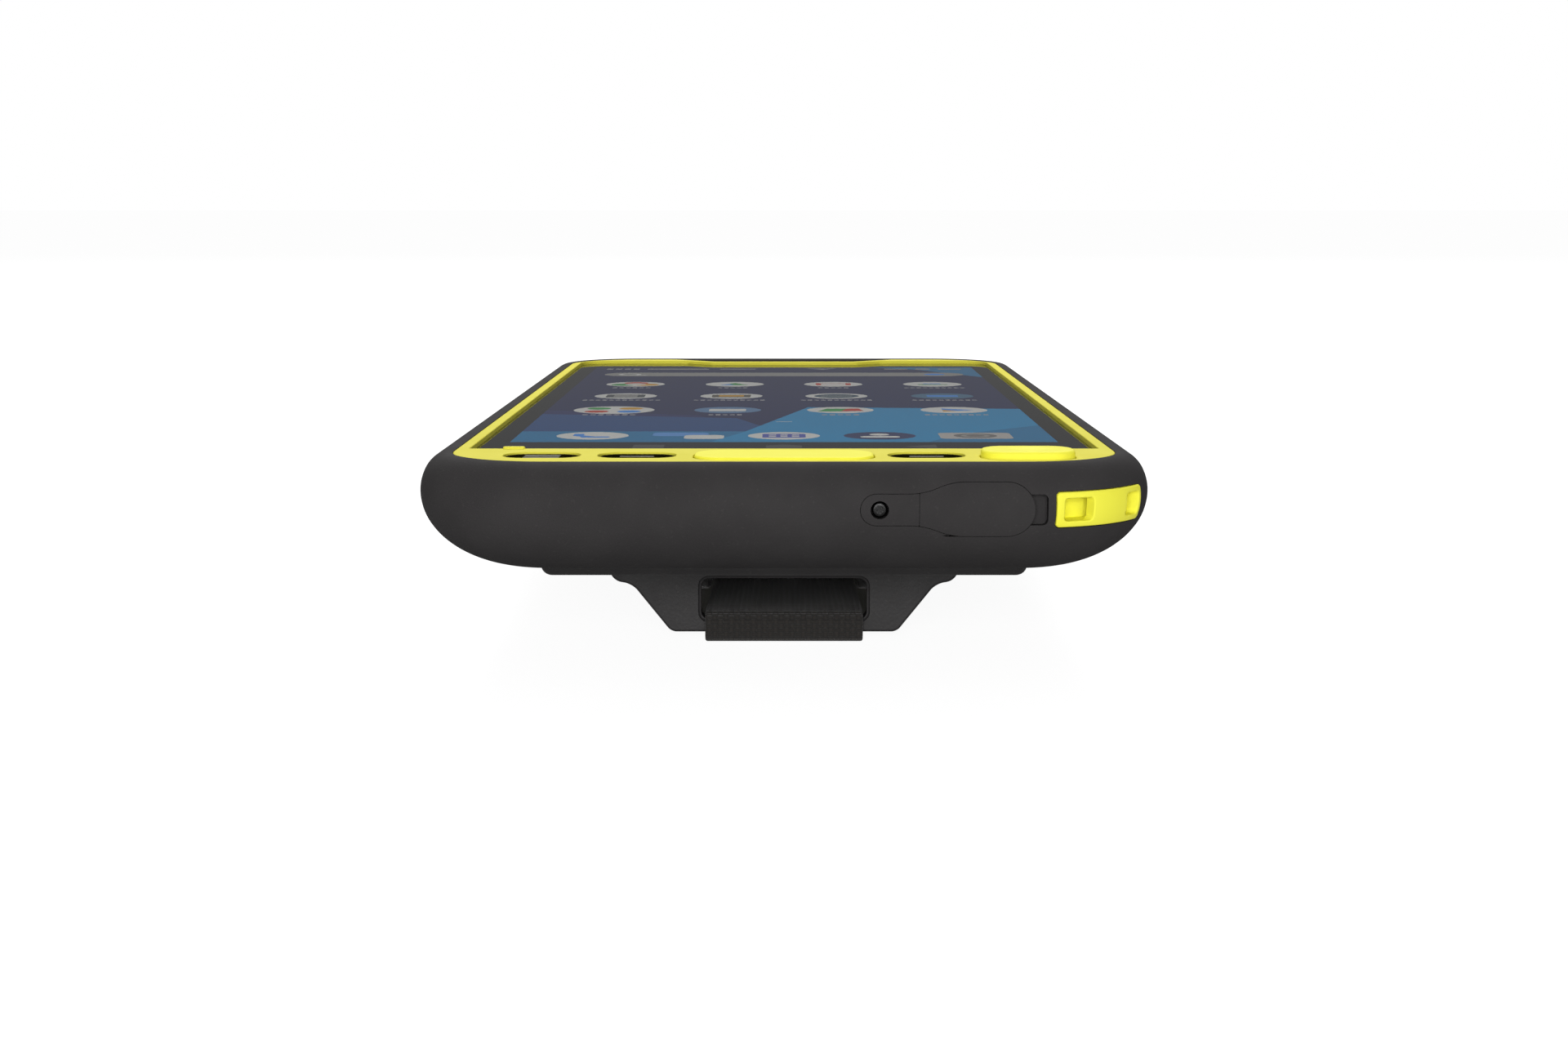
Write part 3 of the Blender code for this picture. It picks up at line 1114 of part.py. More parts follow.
# ---------------------------------------------------------------- build
bumper()
rear_housing()
back_plate()
front_bezel()
cover_glass()
display_seal()
display_panel()
front_camera()
earpiece_grille()
earpiece_speaker()
for key in chin_keys():
    chin_key(*key)
key_flex()
chassis()
main_board()
shield_can()
satellite_antenna()
rear_camera()
camera_window()
flash_lens()
battery_pack()
loudspeaker()
vibration_motor()
charge_board()
link_flex()
usb_socket()
port_cover_tab()
port_cover()
port_cover_screw()
tether_anchor()
for key in side_keys():
    side_key(*key)
for side in (-1, 1):
    side_strip("side_flex", side, 0)
for number, (x, y) in enumerate(case_screw_places(), 1):
    screw(f"case_screw_{number}", x, y, BACK_PLATE_Z + SEAM, 0.0042)
strap_bracket("near_bracket", NEAR_BRACKET_Y, 1)
strap_bracket("far_bracket", FAR_BRACKET_Y, -1)
for name, x, y in bracket_screw_places():
    screw(name, x, y, bracket_seat_z() + SEAM, 0.0052)
hand_strap()
palm_pad()
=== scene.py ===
"""Looks of the rugged handheld data collector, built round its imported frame.

The rubber boot, bezel, screen, keys, port cover, tether anchor, strap brackets, webbing and palm pad
are modelled here in full detail, and each stands for the plain solid of its name. Everything inside
the case keeps its own solid and gets a worked finish. Metres, in the frame's own axes.
"""

import math

import bmesh
import bpy
from mathutils import Matrix, Vector


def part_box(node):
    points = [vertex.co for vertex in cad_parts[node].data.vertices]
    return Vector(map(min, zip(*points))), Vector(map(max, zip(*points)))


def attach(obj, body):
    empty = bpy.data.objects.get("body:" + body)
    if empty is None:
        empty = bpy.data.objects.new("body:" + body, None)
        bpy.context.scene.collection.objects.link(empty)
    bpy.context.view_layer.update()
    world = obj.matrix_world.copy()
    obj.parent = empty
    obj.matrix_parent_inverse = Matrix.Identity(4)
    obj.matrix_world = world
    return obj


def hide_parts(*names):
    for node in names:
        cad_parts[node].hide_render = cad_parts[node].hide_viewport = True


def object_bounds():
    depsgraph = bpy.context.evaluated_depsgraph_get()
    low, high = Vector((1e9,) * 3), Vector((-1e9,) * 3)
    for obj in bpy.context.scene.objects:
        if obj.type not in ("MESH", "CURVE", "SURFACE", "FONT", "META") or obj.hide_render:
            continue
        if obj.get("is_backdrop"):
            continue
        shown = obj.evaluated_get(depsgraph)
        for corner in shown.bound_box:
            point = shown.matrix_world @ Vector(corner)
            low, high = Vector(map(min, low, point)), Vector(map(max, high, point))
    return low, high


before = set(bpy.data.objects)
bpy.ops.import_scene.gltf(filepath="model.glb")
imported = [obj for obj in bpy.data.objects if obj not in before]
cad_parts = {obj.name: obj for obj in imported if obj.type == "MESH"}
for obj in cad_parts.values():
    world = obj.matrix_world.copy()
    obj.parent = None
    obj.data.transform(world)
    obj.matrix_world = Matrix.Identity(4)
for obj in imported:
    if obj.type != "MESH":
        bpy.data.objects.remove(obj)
cad_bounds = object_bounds()

# ---------------------------------------------------------------- sizes of the object
BOOT_LOW, BOOT_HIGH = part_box("rubber_bumper")
SIDE, NEAR, FAR = BOOT_HIGH.x, BOOT_LOW.y, BOOT_HIGH.y
BACK_Z = BOOT_LOW.z
GLASS_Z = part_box("cover_glass")[1].z
BEZEL_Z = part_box("front_bezel")[1].z
CORNER = 0.0154                # plan radius of the boot's corners
WIDEST_DROP = 0.0039           # glass face down to the boot's widest line
SHOULDER = 0.0034              # how far the shoulder reaches in
BELLY = 0.0125                 # how far the lower curve reaches in
BOOT_WALL = 0.0038
BOOT_FLOOR = 0.0019
BACK_OPENING = 0.0136          # boot side to the edge of the back opening
WIDEST_Z = GLASS_Z - WIDEST_DROP
SEAM = 0.00010                 # shadow gap between flush pieces
KEY_GAP = 0.00015
CORNER_STEPS = 20


# ---------------------------------------------------------------- shaping with bmesh operators
def bevel(bm, geom, width, steps, affect="EDGES"):
    return bmesh.ops.bevel(bm, geom=list(geom), offset=width, offset_type="OFFSET", affect=affect,
                           segments=steps, profile=0.5, material=-1, clamp_overlap=False)


def verts_in(geom):
    return [g for g in geom if isinstance(g, bmesh.types.BMVert)]


def edges_in(geom):
    return [g for g in geom if isinstance(g, bmesh.types.BMEdge)]


def verts_of(items):
    """The points that some edges or faces share, each once."""
    return list({v for item in items for v in item.verts})


def everything(bm):
    return bm.verts[:] + bm.edges[:] + bm.faces[:]


def along(edge, axis):
    """True where an edge runs only along one axis."""
    step = edge.verts[1].co - edge.verts[0].co
    return abs(step[axis]) > 1e-7 and step.length - abs(step[axis]) < 1e-7


def level_edges(bm, axis, value):
    """The edges that lie in a plane across an axis and turn a sharp corner there."""
    return [e for e in bm.edges
            if all(abs(v.co[axis] - value) < 1e-7 for v in e.verts)
            and len(e.link_faces) == 2 and e.calc_face_angle(0.0) > 0.6]


def soften_ends(bm, axis, low, high, foot, rim, steps):
    for value, width in ((high, rim), (low, foot)):
        if width:
            bevel(bm, level_edges(bm, axis, value), width, steps)


def turn_to_end(bm):
    """Turns a shape made along Z so that it lies along Y."""
    bmesh.ops.rotate(bm, matrix=Matrix(((1, 0, 0), (0, 0, 1), (0, -1, 0))), verts=bm.verts)
    return bm


def slab(low, high, axis=2, corner=0.0, steps=10, rim=0.0, rim_steps=3, foot=0.0):
    """A block with four rounded corners round one axis, and a softened outer rim and foot."""
    low, high = Vector(low), Vector(high)
    bm = bmesh.new()
    bmesh.ops.create_cube(bm, size=1.0)
    bmesh.ops.scale(bm, vec=high - low, verts=bm.verts)
    bmesh.ops.translate(bm, vec=(low + high) / 2, verts=bm.verts)
    if corner:
        bevel(bm, [e for e in bm.edges if along(e, axis)], corner, steps)
    soften_ends(bm, axis, low[axis], high[axis], foot, rim, rim_steps)
    return bm


def plate(corners, low, high, axis=2, steps=8, rim=0.0, rim_steps=3, foot=0.0):
    """A flat polygon given thickness. Each corner is (across, along, radius)."""
    bm = bmesh.new()
    first, second = [i for i in (0, 1, 2) if i != axis]
    verts = []
    for u, v, _radius in corners:
        place = [0.0, 0.0, 0.0]
        place[first], place[second], place[axis] = u, v, low
        verts.append(bm.verts.new(place))
    base = bm.faces.new(verts)
    grown = bmesh.ops.extrude_face_region(bm, geom=[base])["geom"]
    lift = Vector((0, 0, 0))
    lift[axis] = high - low
    bmesh.ops.translate(bm, vec=lift, verts=verts_in(grown))
    bmesh.ops.recalc_face_normals(bm, faces=bm.faces)
    for vert, (_u, _v, radius) in zip(verts, corners):
        if radius:
            upright = [e for e in vert.link_edges if along(e, axis)]
            around = [e for e in vert.link_edges if e not in upright]
            ways = [(e.other_vert(vert).co - vert.co).normalized() for e in around]
            reach = radius / math.tan(ways[0].angle(ways[1]) / 2)
            bevel(bm, upright, reach, steps)
    soften_ends(bm, axis, low, high, foot, rim, rim_steps)
    return bm


def disc(centre, radius, low, high, axis=2, steps=48, rim=0.0, rim_steps=3, foot=0.0):
    bm = bmesh.new()
    bmesh.ops.create_cone(bm, cap_ends=True, segments=steps, radius1=radius, radius2=radius,
                          depth=high - low)
    bmesh.ops.translate(bm, vec=(0, 0, (low + high) / 2), verts=bm.verts)
    soften_ends(bm, 2, low, high, foot, rim, rim_steps)
    if axis == 1:
        turn_to_end(bm)
    bmesh.ops.translate(bm, vec=centre, verts=bm.verts)
    return bm


def arc_wire(bm, centre, radii, start, end, steps):
    """A row of edges along an ellipse in the YZ plane: a point is spun, then stretched."""
    a = math.radians(start)
    first = bm.verts.new((0, math.cos(a), math.sin(a)))
    before = set(bm.verts)
    bmesh.ops.spin(bm, geom=[first], cent=(0, 0, 0), axis=(1, 0, 0),
                   angle=math.radians(end - start), steps=steps)
    verts = [first] + [v for v in bm.verts if v not in before]
    bmesh.ops.scale(bm, vec=(1, radii[0], radii[1]), verts=verts)
    bmesh.ops.translate(bm, vec=(0, centre[0], centre[1]), verts=verts)
    return verts


def join_wires(bm, wires):
    """Closes rows of edges into one ring."""
    for here, after in zip(wires, wires[1:] + wires[:1]):
        bm.edges.new((here[-1], after[0]))


def point_wire(bm, *points):
    verts = [bm.verts.new((0, y, z)) for y, z in points]
    for a, b in zip(verts, verts[1:]):
        bm.edges.new((a, b))
    return verts


def sweep_round_body(bm):
    """Carries the section in the YZ plane once round the body. A section's y is its inset."""
    bmesh.ops.translate(bm, vec=(CORNER - SIDE, NEAR, 0), verts=bm.verts)
    section = list(bm.edges)
    straights = (2 * (SIDE - CORNER), FAR - NEAR - 2 * CORNER)
    way = Vector((1, 0, 0))
    centre = Vector((SIDE - CORNER, NEAR + CORNER, 0))
    for corner in range(4):
        grown = bmesh.ops.extrude_edge_only(bm, edges=section)["geom"]
        bmesh.ops.translate(bm, vec=way * straights[corner % 2], verts=verts_in(grown))
        section = edges_in(grown)
        turned = bmesh.ops.spin(bm, geom=section + verts_of(section), cent=centre, axis=(0, 0, 1),
                                angle=math.pi / 2, steps=CORNER_STEPS)["geom_last"]
        section = edges_in(turned)
        way = Vector((-way.y, way.x, 0))
        centre += way * straights[(corner + 1) % 2]
    bmesh.ops.remove_doubles(bm, verts=bm.verts, dist=1e-6)
    bmesh.ops.recalc_face_normals(bm, faces=bm.faces)
    return bm


def slice_up(bm, axis, low, high, count):
    """Cuts a shape into strips, so that it can be bent smoothly."""
    normal = Vector((0, 0, 0))
    normal[axis] = 1.0
    for i in range(1, count):
        place = normal * (low + (high - low) * i / count)
        bmesh.ops.bisect_plane(bm, geom=everything(bm), dist=1e-7, plane_co=place, plane_no=normal)


def skin_inset(z):
    """How far in from its widest line the boot's outer skin is at a height."""
    if z > WIDEST_Z:
        reach, rise = SHOULDER, BOOT_HIGH.z - WIDEST_Z
    else:
        reach, rise = BELLY, WIDEST_Z - BACK_Z
    t = min(1.0, abs(z - WIDEST_Z) / rise)
    return reach * (1 - math.sqrt(1 - t * t))


def wrap_round_corner(bm):
    """Bends a flat shape round the near right corner: x becomes the turn, y stays the depth."""
    centre = Vector((SIDE - CORNER, NEAR + CORNER))
    for vert in bm.verts:
        turn = vert.co.x / CORNER
        reach = CORNER - skin_inset(vert.co.z) - vert.co.y
        vert.co.x = centre.x + reach * math.sin(turn)
        vert.co.y = centre.y - reach * math.cos(turn)
    bmesh.ops.recalc_face_normals(bm, faces=bm.faces)
    return bm


# ---------------------------------------------------------------- from bmesh to a piece
def mesh_object(name, bm):
    mesh = bpy.data.meshes.new(name)
    bm.to_mesh(mesh)
    bm.free()
    obj = bpy.data.objects.new(name, mesh)
    bpy.context.scene.collection.objects.link(obj)
    return obj


def settle(obj):
    """Applies the live modifiers."""
    bpy.context.view_layer.update()
    evaluated = obj.evaluated_get(bpy.context.evaluated_depsgraph_get())
    mesh = bpy.data.meshes.new_from_object(evaluated)
    obj.modifiers.clear()
    obj.data = mesh
    return obj


def carve(obj, tools, operation="DIFFERENCE"):
    """Cuts each tool out of the object, or keeps only what they share."""
    cutters = [mesh_object("tool", tool) for tool in tools]
    for cutter in cutters:
        boolean = obj.modifiers.new("carve", "BOOLEAN")
        boolean.operation = operation
        boolean.object = cutter
        boolean.solver = "EXACT"
    settle(obj)
    for cutter in cutters:
        bpy.data.objects.remove(cutter, do_unlink=True)
    return obj


def join_solid(obj, other):
    """Makes the two objects one solid."""
    tool = bmesh.new()
    tool.from_mesh(other.data)
    bpy.data.objects.remove(other, do_unlink=True)
    return carve(obj, [tool], "UNION")


def soften(obj, width, steps=2, angle=40):
    edge = obj.modifiers.new("soft_edges", "BEVEL")
    edge.width = width
    edge.segments = steps
    edge.limit_method = "ANGLE"
    edge.angle_limit = math.radians(angle)
    edge.use_clamp_overlap = False
    edge.profile = 0.5
    return obj


def piece(obj, material, body="housing", stands_for=(), sharp=38):
    obj.data.materials.clear()
    obj.data.materials.append(material)
    obj.data.shade_smooth()
    obj.data.set_sharp_from_angle(angle=math.radians(sharp))
    flat = obj.modifiers.new("flat_stays_flat", "WEIGHTED_NORMAL")
    flat.keep_sharp = True
    flat.weight = 80
    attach(obj, body)
    if stands_for:
        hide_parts(*stands_for)
    return obj


# ---------------------------------------------------------------- shader groups
def new_group(name, inputs, outputs):
    group = bpy.data.node_groups.new(name, "ShaderNodeTree")
    for socket, kind, default in inputs:
        made = group.interface.new_socket(name=socket, in_out="INPUT", socket_type=kind)
        if default is not None:
            made.default_value = default
    for socket, kind in outputs:
        group.interface.new_socket(name=socket, in_out="OUTPUT", socket_type=kind)
    start = group.nodes.new("NodeGroupInput")
    end = group.nodes.new("NodeGroupOutput")
    return group, start, end


class Wiring:
    """Short ways to add and join a tree's nodes."""

    def __init__(self, tree):
        self.tree = tree

    def node(self, kind, settings=None, **inputs):
        made = self.tree.nodes.new("ShaderNode" + kind)
        for key, value in (settings or {}).items():
            setattr(made, key, value)
        for key, value in inputs.items():
            self.put(value, made.inputs[key.replace("_", " ")])
        return made

    def put(self, value, socket):
        if isinstance(value, bpy.types.NodeSocket):
            self.tree.links.new(value, socket)
        else:
            socket.default_value = value

    def maths(self, operation, first, second=0.0, third=0.0, clamp=False):
        made = self.tree.nodes.new("ShaderNodeMath")
        made.operation = operation
        made.use_clamp = clamp
        for socket, value in zip(made.inputs, (first, second, third)):
            self.put(value, socket)
        return made.outputs[0]

    def mix(self, factor, first, second, blend="MIX"):
        made = self.tree.nodes.new("ShaderNodeMix")
        made.data_type = "RGBA"
        made.blend_type = blend
        self.put(factor, made.inputs[0])
        self.put(first, made.inputs[6])
        self.put(second, made.inputs[7])
        return made.outputs[2]

    def ramp(self, value, low, high, to_low=0.0, to_high=1.0):
        made = self.tree.nodes.new("ShaderNodeMapRange")
        self.put(value, made.inputs[0])
        for i, number in enumerate((low, high, to_low, to_high), 1):
            self.put(number, made.inputs[i])
        return made.outputs[0]

    def relief(self, height, depth, shader):
        bump = self.node("Bump", Height=height, Distance=depth, Strength=1.0)
        self.put(bump.outputs["Normal"], shader.inputs["Normal"])


def moulded_grain_group():
    """Fine moulding texture, soft mottling and a little dust, for plastic, rubber and paint."""
    group, start, end = new_group(
        "moulded_grain",
        [("Colour", "NodeSocketColor", (0.5, 0.5, 0.5, 1)),
         ("Second Colour", "NodeSocketColor", (0.4, 0.4, 0.4, 1)),
         ("Grain Size", "NodeSocketFloat", 0.0002), ("Mottle Size", "NodeSocketFloat", 0.006),
         ("Roughness", "NodeSocketFloat", 0.5), ("Roughness Spread", "NodeSocketFloat", 0.1),
         ("Dust", "NodeSocketFloat", 0.1)],
        [("Colour", "NodeSocketColor"), ("Roughness", "NodeSocketFloat"), ("Height", "NodeSocketFloat")])
    w = Wiring(group)
    place = w.node("TexCoord").outputs["Object"]
    grain = w.node("TexNoise", Vector=place, Scale=w.maths("DIVIDE", 1.0, start.outputs["Grain Size"]),
                   Detail=2.0, Roughness=0.6)
    pits = w.node("TexVoronoi", Vector=place,
                  Scale=w.maths("DIVIDE", 0.6, start.outputs["Grain Size"]))
    mottle = w.node("TexNoise", Vector=place,
                    Scale=w.maths("DIVIDE", 1.0, start.outputs["Mottle Size"]), Detail=4.0)
    specks = w.node("TexNoise", Vector=place, Scale=2600.0, Detail=1.0)
    soft = w.ramp(mottle.outputs["Fac"], 0.35, 0.65)
    dusty = w.maths("MULTIPLY", w.ramp(specks.outputs["Fac"], 0.66, 0.74), start.outputs["Dust"])
    base = w.mix(soft, start.outputs["Colour"], start.outputs["Second Colour"])
    w.put(w.mix(dusty, base, (0.55, 0.53, 0.50, 1)), end.inputs["Colour"])
    spread = w.maths("MULTIPLY", w.maths("SUBTRACT", mottle.outputs["Fac"], 0.5),
                     start.outputs["Roughness Spread"])
    w.put(w.maths("ADD", start.outputs["Roughness"], w.maths("MULTIPLY", spread, 2.0), clamp=True),
          end.inputs["Roughness"])
    w.put(w.maths("ADD", w.maths("MULTIPLY", grain.outputs["Fac"], 0.6),
                  w.maths("MULTIPLY", pits.outputs["Distance"], 0.5)), end.inputs["Height"])
    return group


def scratches_group():
    """Long fine marks in one direction, as brushing or handling leaves."""
    group, start, end = new_group(
        "fine_marks",
        [("Length", "NodeSocketFloat", 0.004), ("Width", "NodeSocketFloat", 0.00008),
         ("Low", "NodeSocketFloat", 0.2), ("High", "NodeSocketFloat", 0.4)],
        [("Roughness", "NodeSocketFloat"), ("Height", "NodeSocketFloat"), ("Marks", "NodeSocketFloat")])
    w = Wiring(group)
    place = w.node("SeparateXYZ", Vector=w.node("TexCoord").outputs["Object"])
    stretched = w.node("CombineXYZ", X=w.maths("DIVIDE", place.outputs["X"], start.outputs["Length"]),
                       Y=w.maths("DIVIDE", place.outputs["Y"], start.outputs["Width"]),
                       Z=w.maths("DIVIDE", place.outputs["Z"], start.outputs["Width"]))
    marks = w.node("TexNoise", Vector=stretched.outputs["Vector"], Scale=1.0, Detail=3.0)
    w.put(w.ramp(marks.outputs["Fac"], 0.3, 0.7, start.outputs["Low"], start.outputs["High"]),
          end.inputs["Roughness"])
    w.put(marks.outputs["Fac"], end.inputs["Height"])
    w.put(w.ramp(marks.outputs["Fac"], 0.62, 0.70), end.inputs["Marks"])
    return group


def weave_group():
    """Plain weave on a piece's own UV map, which is in metres: u across, v along."""
    group, start, end = new_group(
        "weave",
        [("UV", "NodeSocketVector", None), ("Warp Pitch", "NodeSocketFloat", 0.0006),
         ("Weft Pitch", "NodeSocketFloat", 0.0005), ("Warp Colour", "NodeSocketColor", (0, 0, 0, 1)),
         ("Weft Colour", "NodeSocketColor", (0, 0, 0, 1))],
        [("Colour", "NodeSocketColor"), ("Height", "NodeSocketFloat"), ("Fuzz", "NodeSocketFloat")])
    w = Wiring(group)
    uv = w.node("SeparateXYZ", Vector=start.outputs["UV"])
    across = w.maths("DIVIDE", uv.outputs["X"], start.outputs["Warp Pitch"])
    lengthways = w.maths("DIVIDE", uv.outputs["Y"], start.outputs["Weft Pitch"])
    warp = w.maths("ABSOLUTE", w.maths("SINE", w.maths("MULTIPLY", across, math.pi)))
    weft = w.maths("ABSOLUTE", w.maths("SINE", w.maths("MULTIPLY", lengthways, math.pi)))
    odd = w.maths("MODULO", w.maths("ADD", w.maths("FLOOR", across), w.maths("FLOOR", lengthways)), 2.0)
    over = w.maths("ABSOLUTE", odd)
    warp_height = w.maths("MULTIPLY", warp, w.maths("MULTIPLY_ADD", weft, 0.5, 0.5))
    weft_height = w.maths("MULTIPLY", weft, w.maths("MULTIPLY_ADD", warp, 0.25, 0.65))
    fibre = w.node("TexNoise", Vector=w.node("TexCoord").outputs["Object"], Scale=9000.0, Detail=2.0)
    height = w.node("Mix", Factor=over)
    w.put(weft_height, height.inputs[2])
    w.put(warp_height, height.inputs[3])
    w.put(w.maths("ADD", height.outputs[0], w.maths("MULTIPLY", fibre.outputs["Fac"], 0.25)),
          end.inputs["Height"])
    colour = w.mix(over, start.outputs["Weft Colour"], start.outputs["Warp Colour"])
    # Painted shade: the colour darkens where the threads dip, to about a third in the deepest hollows.
    painted_hollow_shade = w.ramp(height.outputs[0], 0.0, 0.9, 0.35, 1.0)
    tone = w.node("CombineXYZ", X=painted_hollow_shade, Y=painted_hollow_shade, Z=painted_hollow_shade).outputs["Vector"]
    w.put(w.mix(1.0, colour, tone, "MULTIPLY"), end.inputs["Colour"])
    w.put(fibre.outputs["Fac"], end.inputs["Fuzz"])
    return group


GRAIN = moulded_grain_group()
MARKS = scratches_group()
WEAVE = weave_group()


def set_constants(node, constants):
    for key, value in constants.items():
        node.inputs[key].default_value = value


def new_material(name):
    material = bpy.data.materials.new(name)
    material.use_nodes = True
    return material, Wiring(material.node_tree), material.node_tree.nodes["Principled BSDF"]


def moulded(name, colour, second=None, roughness=0.5, spread=0.1, grain=0.0002, mottle=0.006,
            depth=0.00002, dust=0.04, **constants):
    material, w, shader = new_material(name)
    second = second or tuple(c * 0.85 for c in colour)
    group = w.node("Group", {"node_tree": GRAIN})
    set_constants(group, {"Colour": (*colour, 1), "Second Colour": (*second, 1), "Grain Size": grain,
                          "Mottle Size": mottle, "Roughness": roughness, "Roughness Spread": spread,
                          "Dust": dust})
    w.put(group.outputs["Colour"], shader.inputs["Base Color"])
    w.put(group.outputs["Roughness"], shader.inputs["Roughness"])
    w.relief(group.outputs["Height"], depth, shader)
    set_constants(shader, constants)
    return material


def metal(name, colour, low, high, length=0.004, width=0.00008, depth=0.000004, **constants):
    material, w, shader = new_material(name)
    group = w.node("Group", {"node_tree": MARKS})
    set_constants(group, {"Length": length, "Width": width, "Low": low, "High": high})
    dark = tuple(c * 0.8 for c in colour)
    w.put(w.mix(group.outputs["Marks"], (*colour, 1), (*dark, 1)), shader.inputs["Base Color"])
    w.put(group.outputs["Roughness"], shader.inputs["Roughness"])
    w.relief(group.outputs["Height"], depth, shader)
    set_constants(shader, {"Metallic": 1.0, **constants})
    return material


def woven(name, warp, weft, warp_pitch, weft_pitch, depth, **constants):
    material, w, shader = new_material(name)
    group = w.node("Group", {"node_tree": WEAVE})
    w.put(w.node("UVMap", {"uv_map": "cloth"}).outputs["UV"], group.inputs["UV"])
    set_constants(group, {"Warp Pitch": warp_pitch, "Weft Pitch": weft_pitch, "Warp Colour": (*warp, 1),
                          "Weft Colour": (*weft, 1)})
    w.put(group.outputs["Colour"], shader.inputs["Base Color"])
    w.put(w.ramp(group.outputs["Fuzz"], 0.3, 0.7, 0.77, 0.93),
          shader.inputs["Roughness"])
    w.relief(group.outputs["Height"], depth, shader)
    set_constants(shader, constants)
    return material


def clear_glass(name, tint, ior=1.45):
    material, w, shader = new_material(name)
    group = w.node("Group", {"node_tree": GRAIN})
    set_constants(group, {"Colour": (*tint, 1), "Second Colour": (*tint, 1), "Grain Size": 0.0004,
                          "Mottle Size": 0.012, "Roughness": 0.02, "Roughness Spread": 0.03, "Dust": 0.0})
    w.put(group.outputs["Roughness"], shader.inputs["Roughness"])
    set_constants(shader, {"Base Color": (*tint, 1), "Transmission Weight": 1.0, "IOR": ior})
    return material


RUBBER = moulded("charcoal_rubber", (0.043, 0.0408, 0.0413), (0.039, 0.0369, 0.0375), 0.72, 0.06,
                 grain=0.00022, depth=0.000022, dust=0.01, **{"Specular IOR Level": 0.03})
BRACKET_PLASTIC = moulded("charcoal_plastic", (0.028, 0.0265, 0.0270), (0.024, 0.0226, 0.0230), 0.55, 0.08,
                          grain=0.00030, depth=0.000030, dust=0.02, **{"Specular IOR Level": 0.22})
SCREW_BLACK = metal("screw_black", (0.018, 0.018, 0.018), 0.24, 0.34, length=0.0006)
BEZEL_YELLOW = moulded("yellow_plastic", (0.80, 0.74, 0.080), (0.77, 0.71, 0.070), 0.55, 0.08,
                       grain=0.00016, depth=0.000008, dust=0.0, **{"Specular IOR Level": 0.05})
BRIGHT_YELLOW = moulded("bright_yellow_plastic", (0.97, 0.94, 0.080), (0.95, 0.91, 0.070), 0.50, 0.08,
                        grain=0.00018, depth=0.000008, dust=0.0, **{"Specular IOR Level": 0.08})
DARK_KEY = moulded("dark_key_plastic", (0.009, 0.0083, 0.0022), (0.0065, 0.006, 0.0016), 0.66, 0.08,
                   grain=0.00014, depth=0.000006, dust=0.0, **{"Specular IOR Level": 0.0})
KEY_MARK = moulded("key_mark_paint", (0.105, 0.100, 0.060), (0.085, 0.080, 0.048), 0.6, 0.1,
                   grain=0.00010, depth=0.000004, dust=0.0)
GRILLE_GREY = moulded("grey_mesh", (0.14, 0.14, 0.125), (0.10, 0.10, 0.09), 0.6, 0.1,
                      grain=0.00030, depth=0.00003, dust=0.05)
HOUSING_PLASTIC = moulded("housing_plastic", (0.030, 0.030, 0.031), None, 0.5, 0.1, grain=0.0004,
                          depth=0.00003)
MAGNESIUM = moulded("cast_magnesium", (0.42, 0.42, 0.43), (0.36, 0.36, 0.37), 0.42, 0.12,
                    grain=0.0005, depth=0.00003, Metallic=1.0)
BOARD_GREEN = moulded("circuit_board", (0.012, 0.085, 0.040), (0.008, 0.065, 0.030), 0.35, 0.08,
                      grain=0.0006, depth=0.00001, dust=0.02)
SPRING_STEEL = metal("bright_steel", (0.58, 0.58, 0.58), 0.22, 0.36)
BLACK_STEEL = metal("black_steel", (0.030, 0.030, 0.030), 0.28, 0.42, length=0.0008)
BATTERY_FILM = moulded("battery_wrap", (0.025, 0.026, 0.032), None, 0.35, 0.08, grain=0.0008,
                       depth=0.00002)
SEAL_FOAM = moulded("seal_rubber", (0.018, 0.018, 0.018), None, 0.85, 0.08, grain=0.0002,
                    depth=0.00004)
CERAMIC = moulded("antenna_ceramic", (0.52, 0.47, 0.38), (0.46, 0.41, 0.33), 0.5, 0.1, grain=0.0003)
FLEX_FILM = moulded("flex_film", (0.42, 0.18, 0.025), (0.34, 0.14, 0.018), 0.32, 0.08, grain=0.0009,
                    depth=0.00001)
GLASS = clear_glass("screen_glass", (0.93, 0.94, 0.93), ior=1.2)
LENS = clear_glass("lens_glass", (0.55, 0.55, 0.62))
WEBBING = woven("woven_black", (0.0160, 0.0129, 0.0103), (0.0125, 0.0101, 0.0080), 0.00070, 0.00050,
                0.00016, **{"Sheen Weight": 0.15})
PAD_CLOTH = woven("pad_cloth", (0.026, 0.025, 0.024), (0.018, 0.017, 0.016), 0.0011, 0.0011, 0.00022,
                  **{"Sheen Weight": 0.2})
THREAD = moulded("strap_thread", (0.050, 0.046, 0.042), None, 0.7, 0.1, grain=0.00015, depth=0.00003)


CELL_PITCH = 0.000063          # one lit cell of the screen to the next


def lit_screen_material():
    """The screen's tints are stored on its faces. Its lit cells show as a fine grid."""
    material, w, shader = new_material("display")
    tint = w.node("Attribute", {"attribute_name": "tint"}).outputs["Color"]
    place = w.node("SeparateXYZ", Vector=w.node("TexCoord").outputs["Object"])
    columns = w.maths("SINE", w.maths("MULTIPLY", place.outputs["X"], 2 * math.pi / CELL_PITCH))
    grid = w.ramp(columns, -1.0, 1.0, 0.94, 1.0)
    tone = w.node("CombineXYZ", X=grid, Y=grid, Z=grid).outputs["Vector"]
    shown = w.mix(1.0, tint, tone, "MULTIPLY")
    w.put(w.mix(0.9, shown, (0, 0, 0, 1)), shader.inputs["Base Color"])
    w.put(shown, shader.inputs["Emission Color"])
    set_constants(shader, {"Emission Strength": 0.84, "Roughness": 0.5, "Specular IOR Level": 0.0})
    return material


SCREEN = lit_screen_material()


